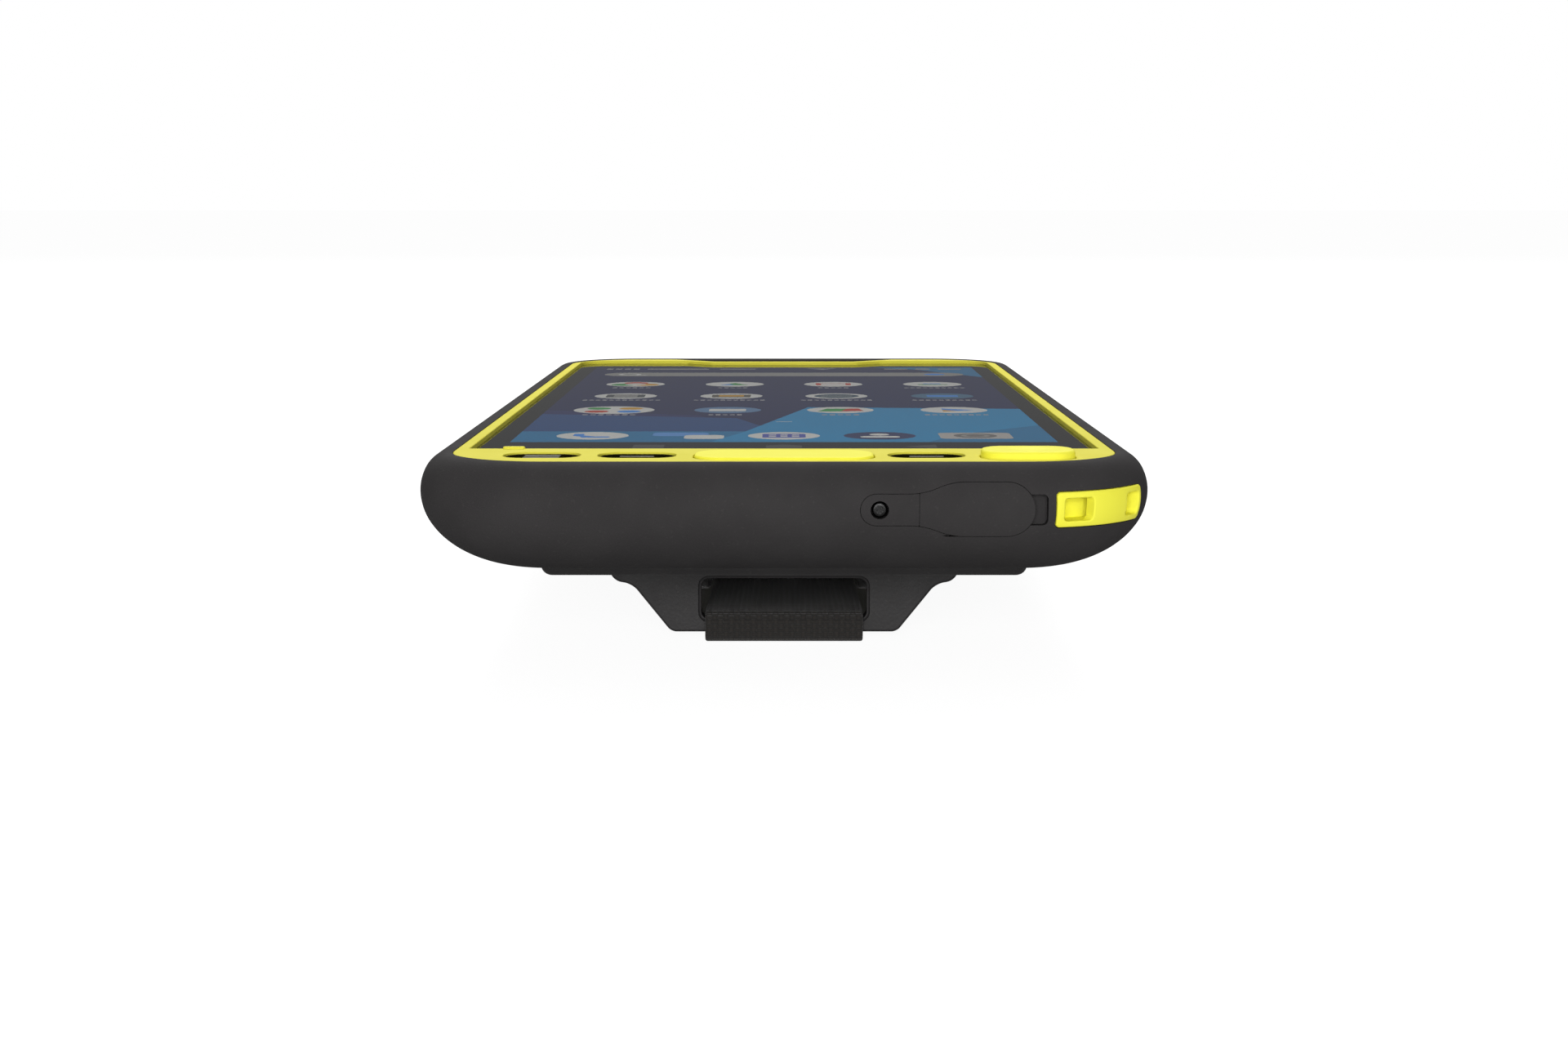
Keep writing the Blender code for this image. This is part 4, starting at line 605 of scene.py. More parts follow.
# ---------------------------------------------------------------- rubber boot
def boot_section(proud=0.0):
    bm = bmesh.new()
    rise = BOOT_HIGH.z - WIDEST_Z + proud
    drop = WIDEST_Z - BACK_Z + proud
    shoulder = arc_wire(bm, (SHOULDER, WIDEST_Z), (SHOULDER + proud, rise), 90, 180, 18)
    belly = arc_wire(bm, (BELLY, WIDEST_Z), (BELLY + proud, drop), 180, 270, 30)
    radii = (BELLY - BOOT_FLOOR, WIDEST_Z - BACK_Z - BOOT_FLOOR)
    turn = 180 + math.degrees(math.acos((BELLY - BOOT_WALL) / radii[0]))
    opening = point_wire(bm, (BACK_OPENING, BACK_Z - proud), (BACK_OPENING, BACK_Z + BOOT_FLOOR))
    inner = arc_wire(bm, (BELLY, WIDEST_Z), radii, 270, turn, 12)
    rim = point_wire(bm, (BOOT_WALL, BEZEL_Z))
    join_wires(bm, [shoulder, belly, opening, inner, rim])
    bmesh.ops.remove_doubles(bm, verts=bm.verts, dist=1e-7)
    return bm


COVER_LOW, COVER_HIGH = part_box("port_cover")
TAB_LOW, TAB_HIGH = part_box("port_cover_tab")
PORT_Z = (TAB_LOW.z + TAB_HIGH.z) / 2
FOLD_X = (TAB_HIGH.x + COVER_LOW.x) / 2
TAB_HALF = (TAB_HIGH.z - TAB_LOW.z) / 2
FLAP_HALF = (COVER_HIGH.z - COVER_LOW.z) / 2
COVER_DEPTH = 0.0024
FOLD_GROOVE = 0.00010
WIDEN = (0.0154, 0.0187)       # where the cover widens from tab to flap


def cover_blank(grow, start=None, end=None):
    """The port cover's outline as a thick plate: round tab, neck and round-ended flap."""
    tab, flap = TAB_HALF + grow, FLAP_HALF + grow
    x0, x1 = TAB_LOW.x - grow, COVER_HIGH.x + grow
    reach = (WIDEN[1] - WIDEN[0]) * 0.40
    lower = [(x0, -tab, tab * 0.995), (WIDEN[0], -tab, reach), (WIDEN[1], -flap, reach),
             (x1, -flap, flap * 0.995)]
    corners = [(x, PORT_Z + z, r) for x, z, r in lower + [(x, -z, r) for x, z, r in reversed(lower)]]
    bm = plate([(x, z, 0.0) for x, z, _r in corners], NEAR - 0.001, NEAR + COVER_DEPTH, axis=1)
    for x, z, radius in corners:
        edges = [e for e in bm.edges if along(e, 1) and abs(e.verts[0].co.x - x) < 1e-7
                 and abs(e.verts[0].co.z - z) < 1e-7]
        bevel(bm, edges, radius, 14 if radius > reach else 8)
    bmesh.ops.recalc_face_normals(bm, faces=bm.faces)
    for place, normal in ((start, (-1, 0, 0)), (end, (1, 0, 0))):
        if place is not None:
            cut = bmesh.ops.bisect_plane(bm, geom=everything(bm), dist=1e-7, plane_co=(place, 0, 0),
                                         plane_no=normal, clear_outer=True)
            bmesh.ops.edgeloop_fill(bm, edges=edges_in(cut["geom_cut"]))
    bmesh.ops.recalc_face_normals(bm, faces=bm.faces)
    return bm


ANCHOR_TURN = (11.6, 61.5)     # degrees round the near right corner
ANCHOR_WINDOWS = ((15.1, 28.7), (48.5, 58.9))
ANCHOR_LOW, ANCHOR_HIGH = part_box("tether_anchor")


def on_corner(turn):
    """The flat x that wraps to a turn round the corner."""
    return math.radians(turn) * CORNER


def corner_slab(turns, heights, depths, grow=0.0, corner=0.0):
    """A slab wrapped round the near right corner. Depth is measured in from the skin."""
    low = (on_corner(turns[0]) - grow, depths[0], heights[0] - grow)
    high = (on_corner(turns[1]) + grow, depths[1], heights[1] + grow)
    bm = slab(low, high, axis=1, corner=corner, steps=6)
    slice_up(bm, 0, low[0], high[0], 16)
    slice_up(bm, 2, low[2], high[2], 6)
    return wrap_round_corner(bm)


SIDE_KEYS = {name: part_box(name) for name in ("volume_rocker", "left_action_key", "power_key",
                                             "right_action_key")}


def rubber_boot():
    boot = mesh_object("rubber_boot", sweep_round_body(boot_section()))
    tools = [cover_blank(SEAM / 2 + 0.00003),
             corner_slab(ANCHOR_TURN, (ANCHOR_LOW.z, ANCHOR_HIGH.z), (-0.001, BOOT_WALL + 0.001),
                         SEAM, 0.0006)]
    notch = slab((COVER_HIGH.x - FLAP_HALF, NEAR - 0.001, PORT_Z - TAB_HALF),
                 (0.0293, NEAR + 0.0017, PORT_Z + TAB_HALF), axis=1, corner=0.0006, steps=6)
    port = slab((0.0164, NEAR + 0.001, PORT_Z - 0.0031),
                (0.0252, NEAR + BOOT_WALL + 0.001, PORT_Z + 0.0009), axis=1, corner=0.0019, steps=8)
    tools += [notch, port]
    for low, high in SIDE_KEYS.values():
        side = math.copysign(1, low.x + high.x)
        reach = sorted((side * (SIDE - BOOT_WALL - 0.001), side * (SIDE + 0.001)))
        tools.append(slab((reach[0], low.y - KEY_GAP, low.z - KEY_GAP),
                          (reach[1], high.y + KEY_GAP, high.z + KEY_GAP), axis=0, corner=0.0011, steps=6))
    carve(boot, tools)
    piece(boot, RUBBER, stands_for=["rubber_bumper"], sharp=25)


rubber_boot()


def near_end_cover():
    """The port cover's two halves, cut from the boot's own skin so that they lie flush."""
    for name, node, body, start, end in (
            ("port_flap", "port_cover", "port_cover_body", FOLD_X + SEAM / 2, None),
            ("port_tab", "port_cover_tab", "housing", None, FOLD_X - SEAM / 2)):
        blank = mesh_object(name, cover_blank(0.00002, start, end))
        carve(blank, [sweep_round_body(boot_section())], "INTERSECT")
        if node == "port_cover":
            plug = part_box("port_cover")[1].y
            add = slab((0.0172, NEAR + COVER_DEPTH - 0.0004, PORT_Z - 0.0023),
                       (0.0244, plug, PORT_Z + 0.0001), axis=1, corner=0.00115, steps=8)
            carve(blank, [add], "UNION")
        else:
            fold = mesh_object("fold", slab((FOLD_X - 0.0004, NEAR - 0.0001, PORT_Z - TAB_HALF),
                                            (FOLD_X + 0.00003, NEAR + COVER_DEPTH, PORT_Z + TAB_HALF)))
            carve(fold, [sweep_round_body(boot_section(-FOLD_GROOVE))], "INTERSECT")
            join_solid(blank, fold)
            carve(blank, [disc((SCREW_X, 0, PORT_Z), 0.00102, NEAR - 0.001, NEAR + 0.004, axis=1)])
        piece(blank, RUBBER, body, [node], sharp=25)


SCREW_X = (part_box("port_cover_screw")[0].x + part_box("port_cover_screw")[1].x) / 2
near_end_cover()


# ---------------------------------------------------------------- bezel, glass and lit screen
EARPIECE_WIDE, EARPIECE_NARROW, EARPIECE_DEPTH = 0.0402, 0.0258, 0.0054
EARPIECE_STRIP = 0.0013        # bezel strip between the recess and the glass
BEZEL_INSET = BOOT_WALL + 0.00006
GLASS_LOW, GLASS_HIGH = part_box("cover_glass")
GRILLE_LOW, GRILLE_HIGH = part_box("earpiece_grille")
EARPIECE_NEAR = GRILLE_LOW.y - 0.00015
GLASS_SKIN = 0.0003            # clear layer over the picture


def recess_corners(grow, far):
    """The earpiece recess: wider towards the boot."""
    slope = (EARPIECE_WIDE - EARPIECE_NARROW) / 2 / EARPIECE_DEPTH
    near = EARPIECE_NEAR - grow
    narrow = EARPIECE_NARROW / 2 + grow * (math.sqrt(1 + slope * slope) - slope)
    wide = narrow + slope * (far - near)
    return [(-narrow, near), (narrow, near), (wide, far), (-wide, far)]


def glass_corners(grow):
    """The glass outline, notched round the earpiece."""
    x, near, far = GLASS_HIGH.x + grow, GLASS_LOW.y - grow, GLASS_HIGH.y + grow
    notch = recess_corners(EARPIECE_STRIP + 0.00015 - grow, far)
    return [(-x, near, 0.0003), (x, near, 0.0003), (x, far, 0.0044), (notch[2][0], far, 0.0008),
            (*notch[1], 0.0010), (*notch[0], 0.0010), (notch[3][0], far, 0.0008), (-x, far, 0.0044)]


CHIN_KEYS = ("function_key", "left_key", "home_key", "right_key", "corner_key")
KEY_FLANGE = 0.0006


def key_plan(name):
    """A key's lowest and highest corners without the flange that holds it in."""
    low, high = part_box(name)
    inset = Vector((KEY_FLANGE, KEY_FLANGE, 0))
    return low + inset, high - inset


def key_corner(low, high):
    return min((high.y - low.y) * 0.42, 0.0034)


def bezel():
    inset = BEZEL_INSET
    low = (inset - SIDE, NEAR + inset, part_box("front_bezel")[0].z)
    body = mesh_object("yellow_bezel", slab(low, (SIDE - inset, FAR - inset, BEZEL_Z),
                                            corner=CORNER - inset, steps=24))
    tools = [plate(glass_corners(0.00004), GLASS_Z - 0.0016, BEZEL_Z + 0.001, steps=10),
             plate(glass_corners(-0.0016), low[2] - 0.001, BEZEL_Z + 0.001, steps=10),
             plate([(x, y, 0.0) for x, y in recess_corners(0.0, FAR - inset + 0.001)],
                   low[2] - 0.001, BEZEL_Z + 0.001)]
    for name in CHIN_KEYS:
        a, b = key_plan(name)
        grow = Vector((KEY_GAP, KEY_GAP, 0))
        a, b = a - grow, b + grow
        tools.append(slab((a.x, a.y, low[2] - 0.001), (b.x, b.y, BEZEL_Z + 0.001),
                          corner=key_corner(a, b), steps=12))
    carve(body, tools)
    bump_low = Vector((-0.0332, GLASS_LOW.y - 0.0011, BEZEL_Z - 0.0001))
    carve(body, [slab(bump_low, bump_low + Vector((0.0026, 0.0009, 0.0004)), corner=0.0004, steps=5,
                      rim=0.00015)], "UNION")
    soften(body, 0.00010, 2)
    piece(body, BEZEL_YELLOW, stands_for=["front_bezel"])


bezel()
front_glass = mesh_object("front_glass", plate(glass_corners(-0.00004), GLASS_Z - 0.0011, GLASS_Z,
                                               steps=10, rim=0.00006, rim_steps=2))
piece(front_glass, GLASS, stands_for=["cover_glass"])


# The screen's content is flat inlays on a black panel, each on a thin layer of its own.
PANEL_HALF = 0.0340
PANEL_NEAR, PANEL_FAR = NEAR + 0.0212, NEAR + 0.1572
NIGHT = (0.004, 0.010, 0.075)
DEEP = (0.010, 0.018, 0.110)
DUSK = (0.010, 0.060, 0.200)
TEAL = (0.010, 0.170, 0.360)
SKY = (0.015, 0.240, 0.480)
PALE = (0.62, 0.62, 0.60)
GREY = (0.28, 0.28, 0.27)
FAINT = (0.060, 0.060, 0.062)
SLATE = (0.06, 0.07, 0.08)
INK = (0.020, 0.030, 0.110)
RED, GREEN = (0.50, 0.05, 0.03), (0.04, 0.30, 0.07)
AMBER, AZURE = (0.60, 0.32, 0.03), (0.05, 0.25, 0.70)
LAYER = 0.000004


class Picture:
    """Collects flat coloured shapes on one mesh."""

    def __init__(self, level):
        self.bm = bmesh.new()
        self.tint = self.bm.faces.layers.float_color.new("tint")
        self.level = level

    def polygon(self, corners, colour, layer=1):
        verts = [self.bm.verts.new((x, y, self.level + layer * LAYER)) for x, y in corners]
        face = self.bm.faces.new(verts)
        self.paint(face, colour)
        return face

    def paint(self, face, colour):
        face.normal_update()
        if face.normal.z < 0:
            face.normal_flip()
        face[self.tint] = (*colour, 1.0)

    def patch(self, x0, x1, y0, y1, colour, layer=1, corner=0.0, steps=5):
        face = self.polygon([(x0, y0), (x1, y0), (x1, y1), (x0, y1)], colour, layer)
        if corner:
            bevel(self.bm, face.verts, corner, steps, "VERTICES")

    def spot(self, x, y, radius, colour, layer=1, steps=28, hole=0.0):
        made = bmesh.ops.create_circle(self.bm, cap_ends=not hole, segments=steps, radius=radius)
        verts = made["verts"]
        bmesh.ops.translate(self.bm, vec=(x, y, self.level + layer * LAYER), verts=verts)
        if hole:
            edges = list({e for v in verts for e in v.link_edges})
            grown = bmesh.ops.extrude_edge_only(self.bm, edges=edges)["geom"]
            inner = verts_in(grown)
            bmesh.ops.scale(self.bm, vec=(hole / radius, hole / radius, 1), verts=inner,
                            space=Matrix.Translation((-x, -y, 0)))
            verts = verts + inner
        for face in {f for v in verts for f in v.link_faces}:
            self.paint(face, colour)


def wallpaper(art):
    art.patch(-PANEL_HALF, PANEL_HALF, PANEL_NEAR, PANEL_FAR, NIGHT)
    near = PANEL_NEAR
    art.polygon([(-PANEL_HALF, near), (-PANEL_HALF, near + 0.052), (-0.012, near + 0.044), (0.006, near)],
                DEEP, 2)
    art.polygon([(-PANEL_HALF, near), (-PANEL_HALF, near + 0.046), (-0.0065, near + 0.040), (0.006, near)],
                DUSK, 3)
    art.polygon([(-PANEL_HALF, near), (-PANEL_HALF, near + 0.022), (-0.004, near + 0.022), (0.004, near)],
                TEAL, 4)
    art.polygon([(-0.012, near), (-0.005, near + 0.022), (0.0035, near + 0.0565),
                 (PANEL_HALF, near + 0.054), (PANEL_HALF, near)], SKY, 5)
    art.polygon([(0.014, near), (0.022, near + 0.018), (PANEL_HALF, near + 0.030), (PANEL_HALF, near)],
                TEAL, 6)
    art.polygon([(0.016, PANEL_FAR), (0.024, PANEL_FAR - 0.0060), (PANEL_HALF, PANEL_FAR - 0.0230),
                 (PANEL_HALF, PANEL_FAR)], TEAL, 2)
    art.patch(-PANEL_HALF, PANEL_HALF, near, near + 0.0090, (0.004, 0.004, 0.010), 7)


def bars_and_search(art):
    y = NEAR + 0.1530
    for i in range(4):
        art.patch(-0.0318 + i * 0.0016, -0.0307 + i * 0.0016, y - 0.0012, y + 0.0012, GREY, 7)
    art.patch(-0.0245, -0.0135, y - 0.0012, y + 0.0012, GREY, 7, 0.0006)
    art.patch(-0.0115, -0.0050, y - 0.0008, y + 0.0008, GREY, 7, 0.0004)
    art.polygon([(0.0040, y + 0.0015), (0.0096, y + 0.0015), (0.0068, y - 0.0017)], GREY, 7)
    art.patch(0.0180, 0.0222, y - 0.0010, y + 0.0010, GREY, 7, 0.0004)
    art.patch(0.0236, 0.0262, y - 0.0014, y + 0.0014, GREY, 7, 0.0003)
    art.patch(0.0276, 0.0318, y - 0.0010, y + 0.0010, GREY, 7, 0.0004)
    y = NEAR + 0.1405
    art.patch(-0.0312, 0.0312, y - 0.0040, y + 0.0040, GREY, 7, 0.0039, 8)
    art.spot(-0.0268, y, 0.0020, PALE, 8, hole=0.0013)
    art.patch(-0.0256, -0.0238, y - 0.0022, y - 0.0016, PALE, 8)
    art.spot(0.0262, y, 0.0018, AZURE, 8)


ROWS = (0.1193, 0.0967, 0.0733)
COLUMNS = (-0.0244, -0.0081, 0.0081, 0.0244)


def ring_places(count, reach):
    """Places spread evenly round a circle, from the top."""
    turns = [math.radians(90 + 360 / count * i) for i in range(count)]
    return [(reach * math.cos(a), reach * math.sin(a)) for a in turns]


# What lies on each icon's ground, in parts of its radius. A patch is (left, right, near, far) and how
# round it is, a polygon is its corners, and a spot is its middle, radius, steps and hole. Then come its
# colour and how many layers up it lies.
ICONS = {
    "ring": [("spot", (x, y, 0.42, 28, 0.0), tint, i)
             for i, ((x, y), tint) in enumerate(zip(ring_places(3, 0.45), (RED, GREEN, AMBER)))]
            + [("spot", (0, 0, 0.36, 28, 0.0), PALE, 3)],
    "triangle": [("polygon", ((-0.5, -0.4), (0.5, -0.4), (0, 0.5)), GREEN, 0),
                 ("polygon", ((-0.5, -0.4), (0, -0.4), (-0.2, 0.1)), AZURE, 1)],
    "envelope": [("patch", (-0.6, 0.6, -0.42, 0.42, 0.08), RED, 0),
                 ("patch", (-0.42, 0.42, -0.36, 0.36, 0.0), PALE, 1)],
    "gauge": [("patch", (-0.5, 0.5, -0.30, -0.05, 0.0), GREEN, 0),
              ("patch", (-0.3, 0.3, 0.05, 0.30, 0.0), AZURE, 0)],
    "sheet": [("patch", (-0.62, 0.62, -0.55, 0.55, 0.1), SLATE, 0),
              ("patch", (-0.38, 0.38, -0.34, 0.34, 0.0), GREY, 1)],
    "box": [("patch", (-0.62, 0.62, -0.5, 0.5, 0.1), (0.10, 0.09, 0.07), 0),
            ("patch", (-0.40, 0.40, -0.2, 0.3, 0.0), AMBER, 1)],
    "globe": [("spot", (0, 0, 0.72, 28, 0.0), (0.03, 0.07, 0.11), 0),
              ("patch", (-0.5, 0.5, -0.1, 0.1, 0.0), GREY, 1)],
    "tile": [("patch", (-0.5, 0.5, -0.3, 0.3, 0.1), AZURE, 0)],
    "group": [("spot", ((i % 2 - 0.5) * 0.8, (i // 2 - 0.5) * 0.8, 0.30, 16, 0.0), tint, 0)
              for i, tint in enumerate((RED, AZURE, GREEN, AMBER))],
    "folder": [("patch", (-0.55, 0.55, -0.4, 0.35, 0.1), PALE, 0)],
    "pin": [("polygon", ((-0.7, -0.45), (0, -0.45), (0.2, 0.45), (-0.4, 0.45)), GREEN, 0),
            ("polygon", ((0, -0.45), (0.7, -0.3), (0.55, 0.5), (0.2, 0.45)), RED, 0)],
    "play": [("polygon", ((-0.35, -0.5), (0.6, 0), (-0.35, 0.5)), AZURE, 0),
             ("polygon", ((-0.35, -0.5), (0.1, -0.26), (-0.35, 0)), AMBER, 1)],
    "handset": [("patch", (-0.55, -0.25, -0.1, 0.5, 0.1), AZURE, 0),
                ("patch", (-0.3, 0.5, -0.5, -0.2, 0.1), AZURE, 0),
                ("polygon", ((-0.55, 0), (-0.3, 0.1), (0.1, -0.25), (-0.1, -0.5)), AZURE, 0)],
    "calendar": [("patch", (-0.6, 0.6, -0.5, 0.5, 0.1), (0.08, 0.10, 0.40), 0)]
                + [("patch", (x - 0.10, x + 0.10, y - 0.10, y + 0.10, 0.0), PALE, 1)
                   for x, y in [((i % 3 - 1) * 0.32, (0.5 - i // 3) * 0.36) for i in range(6)]],
    "contact": [("spot", (0, 0.32, 0.28, 20, 0.0), PALE, 0),
                ("patch", (-0.55, 0.55, -0.5, -0.08, 0.2), PALE, 0)],
    "bubbles": [("patch", (-1.0, 0.55, -0.1, 0.85, 0.25), (0.10, 0.28, 0.62), -1),
                ("patch", (-0.1, 1.0, -0.85, 0.2, 0.25), PALE, 0)],
    "lens": [("patch", (-1.0, 1.0, -0.8, 0.8, 0.2), (0.42, 0.40, 0.38), -1),
             ("spot", (0, 0, 0.60, 28, 0.0), (0.16, 0.15, 0.15), 0),
             ("spot", (0, 0, 0.40, 28, 0.26), GREY, 1)],
}
GROUNDS = {"folder": (0.10, 0.20, 0.36), "tile": (0.05, 0.14, 0.24), "contact": INK}
WITHOUT_GROUND = ("bubbles", "lens")
ICON_LAYER = 7


def icon(art, kind, x, y, r):
    """Plain marks on round grounds, each of a different kind."""
    if kind not in WITHOUT_GROUND:
        art.spot(x, y, r, GROUNDS.get(kind, PALE), ICON_LAYER, 40)
    for shape, sizes, colour, rise in ICONS[kind]:
        layer = ICON_LAYER + 1 + rise
        if shape == "polygon":
            art.polygon([(x + r * u, y + r * v) for u, v in sizes], colour, layer)
        elif shape == "patch":
            left, right, low, high, corner = sizes
            art.patch(x + r * left, x + r * right, y + r * low, y + r * high, colour, layer, r * corner)
        else:
            dx, dy, radius, steps, hole = sizes
            art.spot(x + r * dx, y + r * dy, r * radius, colour, layer, steps, r * hole)


def label(art, x, y, width):
    """A caption shown as a row of short dashes."""
    count = max(3, int(width / 0.0010))
    pitch = width / count
    for i in range(count):
        left = x - width / 2 + i * pitch
        tall = 0.00052 if (i * 7 + count) % 3 else 0.00075
        art.patch(left, left + pitch * 0.68, y - tall, y + tall, (0.34, 0.34, 0.36), ICON_LAYER)


def lit_screen():
    level = GLASS_Z - GLASS_SKIN
    art = Picture(level)
    wallpaper(art)
    bars_and_search(art)
    kinds = (("ring", "triangle", "envelope", "gauge"), ("sheet", "box", "globe", "tile"),
             ("group", "folder", "pin", "play"))
    widths = ((0.0064, 0.0050, 0.0052, 0.0100), (0.0120, 0.0110, 0.0110, 0.0100),
              (0.0078, 0.0050, 0.0056, 0.0092))
    for y, row, spans in zip(ROWS, kinds, widths):
        for x, kind, span in zip(COLUMNS, row, spans):
            icon(art, kind, x, NEAR + y, 0.0058 if kind == "group" else 0.0048)
            label(art, x, NEAR + y - 0.0072, span)
    for i, kind in enumerate(("handset", "bubbles", "calendar", "contact", "lens")):
        icon(art, kind, (i - 2) * 0.0122, NEAR + 0.0378, 0.0046)
    art.patch(-0.0011, 0.0011, NEAR + 0.0560, NEAR + 0.0564, PALE, 7)
    y = NEAR + 0.0252
    art.patch(-0.0184, -0.0146, y - 0.0019, y + 0.0019, FAINT, 8)
    art.polygon([(-0.0022, y - 0.0018), (0.0022, y - 0.0018), (0.0022, y + 0.0010), (0.0, y + 0.0022),
                 (-0.0022, y + 0.0010)], FAINT, 8)
    art.polygon([(0.0146, y), (0.0186, y - 0.0020), (0.0186, y + 0.0020)], FAINT, 8)
    picture = mesh_object("lit_screen", art.bm)
    panel = plate(glass_corners(-0.0002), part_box("display_panel")[0].z, level, steps=10)
    tint = panel.faces.layers.float_color.new("tint")
    for face in panel.faces:
        face[tint] = (0.003, 0.003, 0.003, 1.0)
    back = mesh_object("panel_back", panel)
    join_objects(picture, [back])
    piece(picture, SCREEN, stands_for=["display_panel"])


def join_objects(keep, others):
    """Adds the others' meshes to the first, face layers included."""
    bm = bmesh.new()
    for obj in [keep] + others:
        bm.from_mesh(obj.data)
    bm.to_mesh(keep.data)
    bm.free()
    for obj in others:
        bpy.data.objects.remove(obj, do_unlink=True)


lit_screen()


# ---------------------------------------------------------------- earpiece
def earpiece():
    far = FAR - BEZEL_INSET - 0.00010
    corners = [(x, y, 0.0003) for x, y in recess_corners(-0.00006, far)]
    grille = mesh_object("earpiece_grille_plate", plate(corners, GRILLE_LOW.z, GRILLE_HIGH.z, steps=3))
    tools = []
    for i in range(5):
        x = (i - 2) * 0.0030
        tools.append(slab((x - 0.0007, EARPIECE_NEAR + 0.0014, GRILLE_LOW.z - 0.001),
                          (x + 0.0007, far - 0.0014, GRILLE_HIGH.z + 0.001), corner=0.00069, steps=6))
    carve(grille, tools)
    soften(grille, 0.00012, 2)
    piece(grille, GRILLE_GREY, stands_for=["earpiece_grille"])


earpiece()


# ---------------------------------------------------------------- keys below the screen
def key_mark(name, boxes, top, body):
    """Raised painted bars on a key."""
    parts = []
    for i, (x0, x1, y0, y1) in enumerate(boxes):
        half = min(x1 - x0, y1 - y0) / 2
        parts.append(mesh_object(f"{name}_{i}", slab((x0, y0, top - 0.00005), (x1, y1, top + 0.00004),
                                                     corner=half * 0.9, steps=4)))
    parts[0].name = name
    join_objects(parts[0], parts[1:])
    piece(parts[0], KEY_MARK, body)


def chin_key(name, material):
    low, high = key_plan(name)
    corner = key_corner(low, high)
    domed = {"home_key": 0.00030, "corner_key": 0.00038}.get(name, 0.00022)
    cap = mesh_object(name + "_cap", slab((low.x, low.y, low.z + KEY_FLANGE / 2), high, corner=corner,
                                          steps=12, rim=domed, rim_steps=4))
    if name == "corner_key":
        middle = (low + high) / 2
        ball = bmesh.new()
        bmesh.ops.create_icosphere(ball, subdivisions=5, radius=0.0118)
        bmesh.ops.translate(ball, vec=(middle.x, middle.y, high.z + 0.0118 - 0.0003), verts=ball.verts)
        carve(cap, [ball])
    piece(cap, material, name + "_body", [name])
    flange_low = low - Vector((KEY_FLANGE, KEY_FLANGE, 0))
    flange_high = Vector((high.x + KEY_FLANGE, high.y + KEY_FLANGE, low.z + KEY_FLANGE))
    flange = mesh_object(name + "_flange", slab(flange_low, flange_high, corner=corner + KEY_FLANGE / 2,
                                                steps=8))
    piece(flange, material, name + "_body")
    return low, high


def chin_keys():
    for name in ("home_key", "corner_key"):
        chin_key(name, BRIGHT_YELLOW)
    for name in ("function_key", "left_key", "right_key"):
        low, high = chin_key(name, DARK_KEY)
        x, y = (low.x + high.x) / 2, (low.y + high.y) / 2
        if name == "function_key":
            bars = [(x - 0.0021, x + 0.0021, y + dy - 0.00020, y + dy + 0.00020)
                    for dy in (-0.0011, 0.0, 0.0011)]
        else:
            bars = [(x - 0.0020, x + 0.0020, y - 0.00028, y + 0.00028)]
        key_mark(name + "_mark", bars, high.z, name + "_body")


chin_keys()


# ---------------------------------------------------------------- tether anchor
def anchor():
    """Modelled flat, softened, then wrapped round the corner."""
    low = Vector((on_corner(ANCHOR_TURN[0]), -0.00015, ANCHOR_LOW.z))
    high = Vector((on_corner(ANCHOR_TURN[1]), 0.0034, ANCHOR_HIGH.z))
    bar = mesh_object("tether_bar", slab(low, high, axis=1, corner=0.0005, steps=6))
    middle = (low.z + high.z) / 2
    half = 0.0013
    tools = [slab((on_corner(ANCHOR_WINDOWS[0][0]), 0.0013, middle - half),
                  (on_corner(ANCHOR_WINDOWS[1][1]), 0.0029, middle + half), axis=1, corner=0.0002, steps=3)]
    for start, end in ANCHOR_WINDOWS:
        tools.append(slab((on_corner(start), -0.001, middle - half),
                          (on_corner(end), 0.0028, middle + half), axis=1, corner=0.00045, steps=6))
    carve(bar, tools)
    bm = bmesh.new()
    bm.from_mesh(bar.data)
    bmesh.ops.remove_doubles(bm, verts=bm.verts, dist=1e-7)
    bmesh.ops.dissolve_limit(bm, angle_limit=0.002, verts=bm.verts, edges=bm.edges)
    bevel(bm, level_edges(bm, 1, low.y), 0.00018, 3)
    bmesh.ops.triangulate(bm, faces=[f for f in bm.faces if len(f.verts) > 4])
    slice_up(bm, 0, low.x, high.x, 28)
    slice_up(bm, 2, low.z, high.z, 8)
    wrap_round_corner(bm)
    bm.to_mesh(bar.data)
    bm.free()
    piece(bar, BRIGHT_YELLOW, stands_for=["tether_anchor"])


anchor()


# ---------------------------------------------------------------- screws
def driver_recess(centre, radius, low, high):
    """A six-lobed hole: a ring of points with every second one drawn in."""
    bm = bmesh.new()
    made = bmesh.ops.create_circle(bm, cap_ends=True, segments=24, radius=radius)
    ring = sorted(made["verts"], key=lambda v: math.atan2(v.co.y, v.co.x))
    for i, vert in enumerate(ring):
        vert.co *= (1.0, 0.92, 0.74, 0.92)[i % 4]
    grown = bmesh.ops.extrude_face_region(bm, geom=bm.faces[:])["geom"]
    bmesh.ops.translate(bm, vec=(0, 0, high - low), verts=verts_in(grown))
    bmesh.ops.translate(bm, vec=(centre[0], centre[1], low), verts=bm.verts)
    bmesh.ops.recalc_face_normals(bm, faces=bm.faces)
    return bm


def back_screw(node):
    low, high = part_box(node)
    x, y = (low.x + high.x) / 2, (low.y + high.y) / 2
    head = mesh_object(node + "_head", disc((x, y, 0), 0.0019, low.z, low.z + 0.0012, foot=0.0003,
                                            rim_steps=4))
    carve(head, [disc((x, y, 0), 0.0010, low.z + 0.0010, high.z, steps=20)], "UNION")
    carve(head, [driver_recess((x, y), 0.00105, low.z - 0.0005, low.z + 0.0007)])
    piece(head, SCREW_BLACK, stands_for=[node])


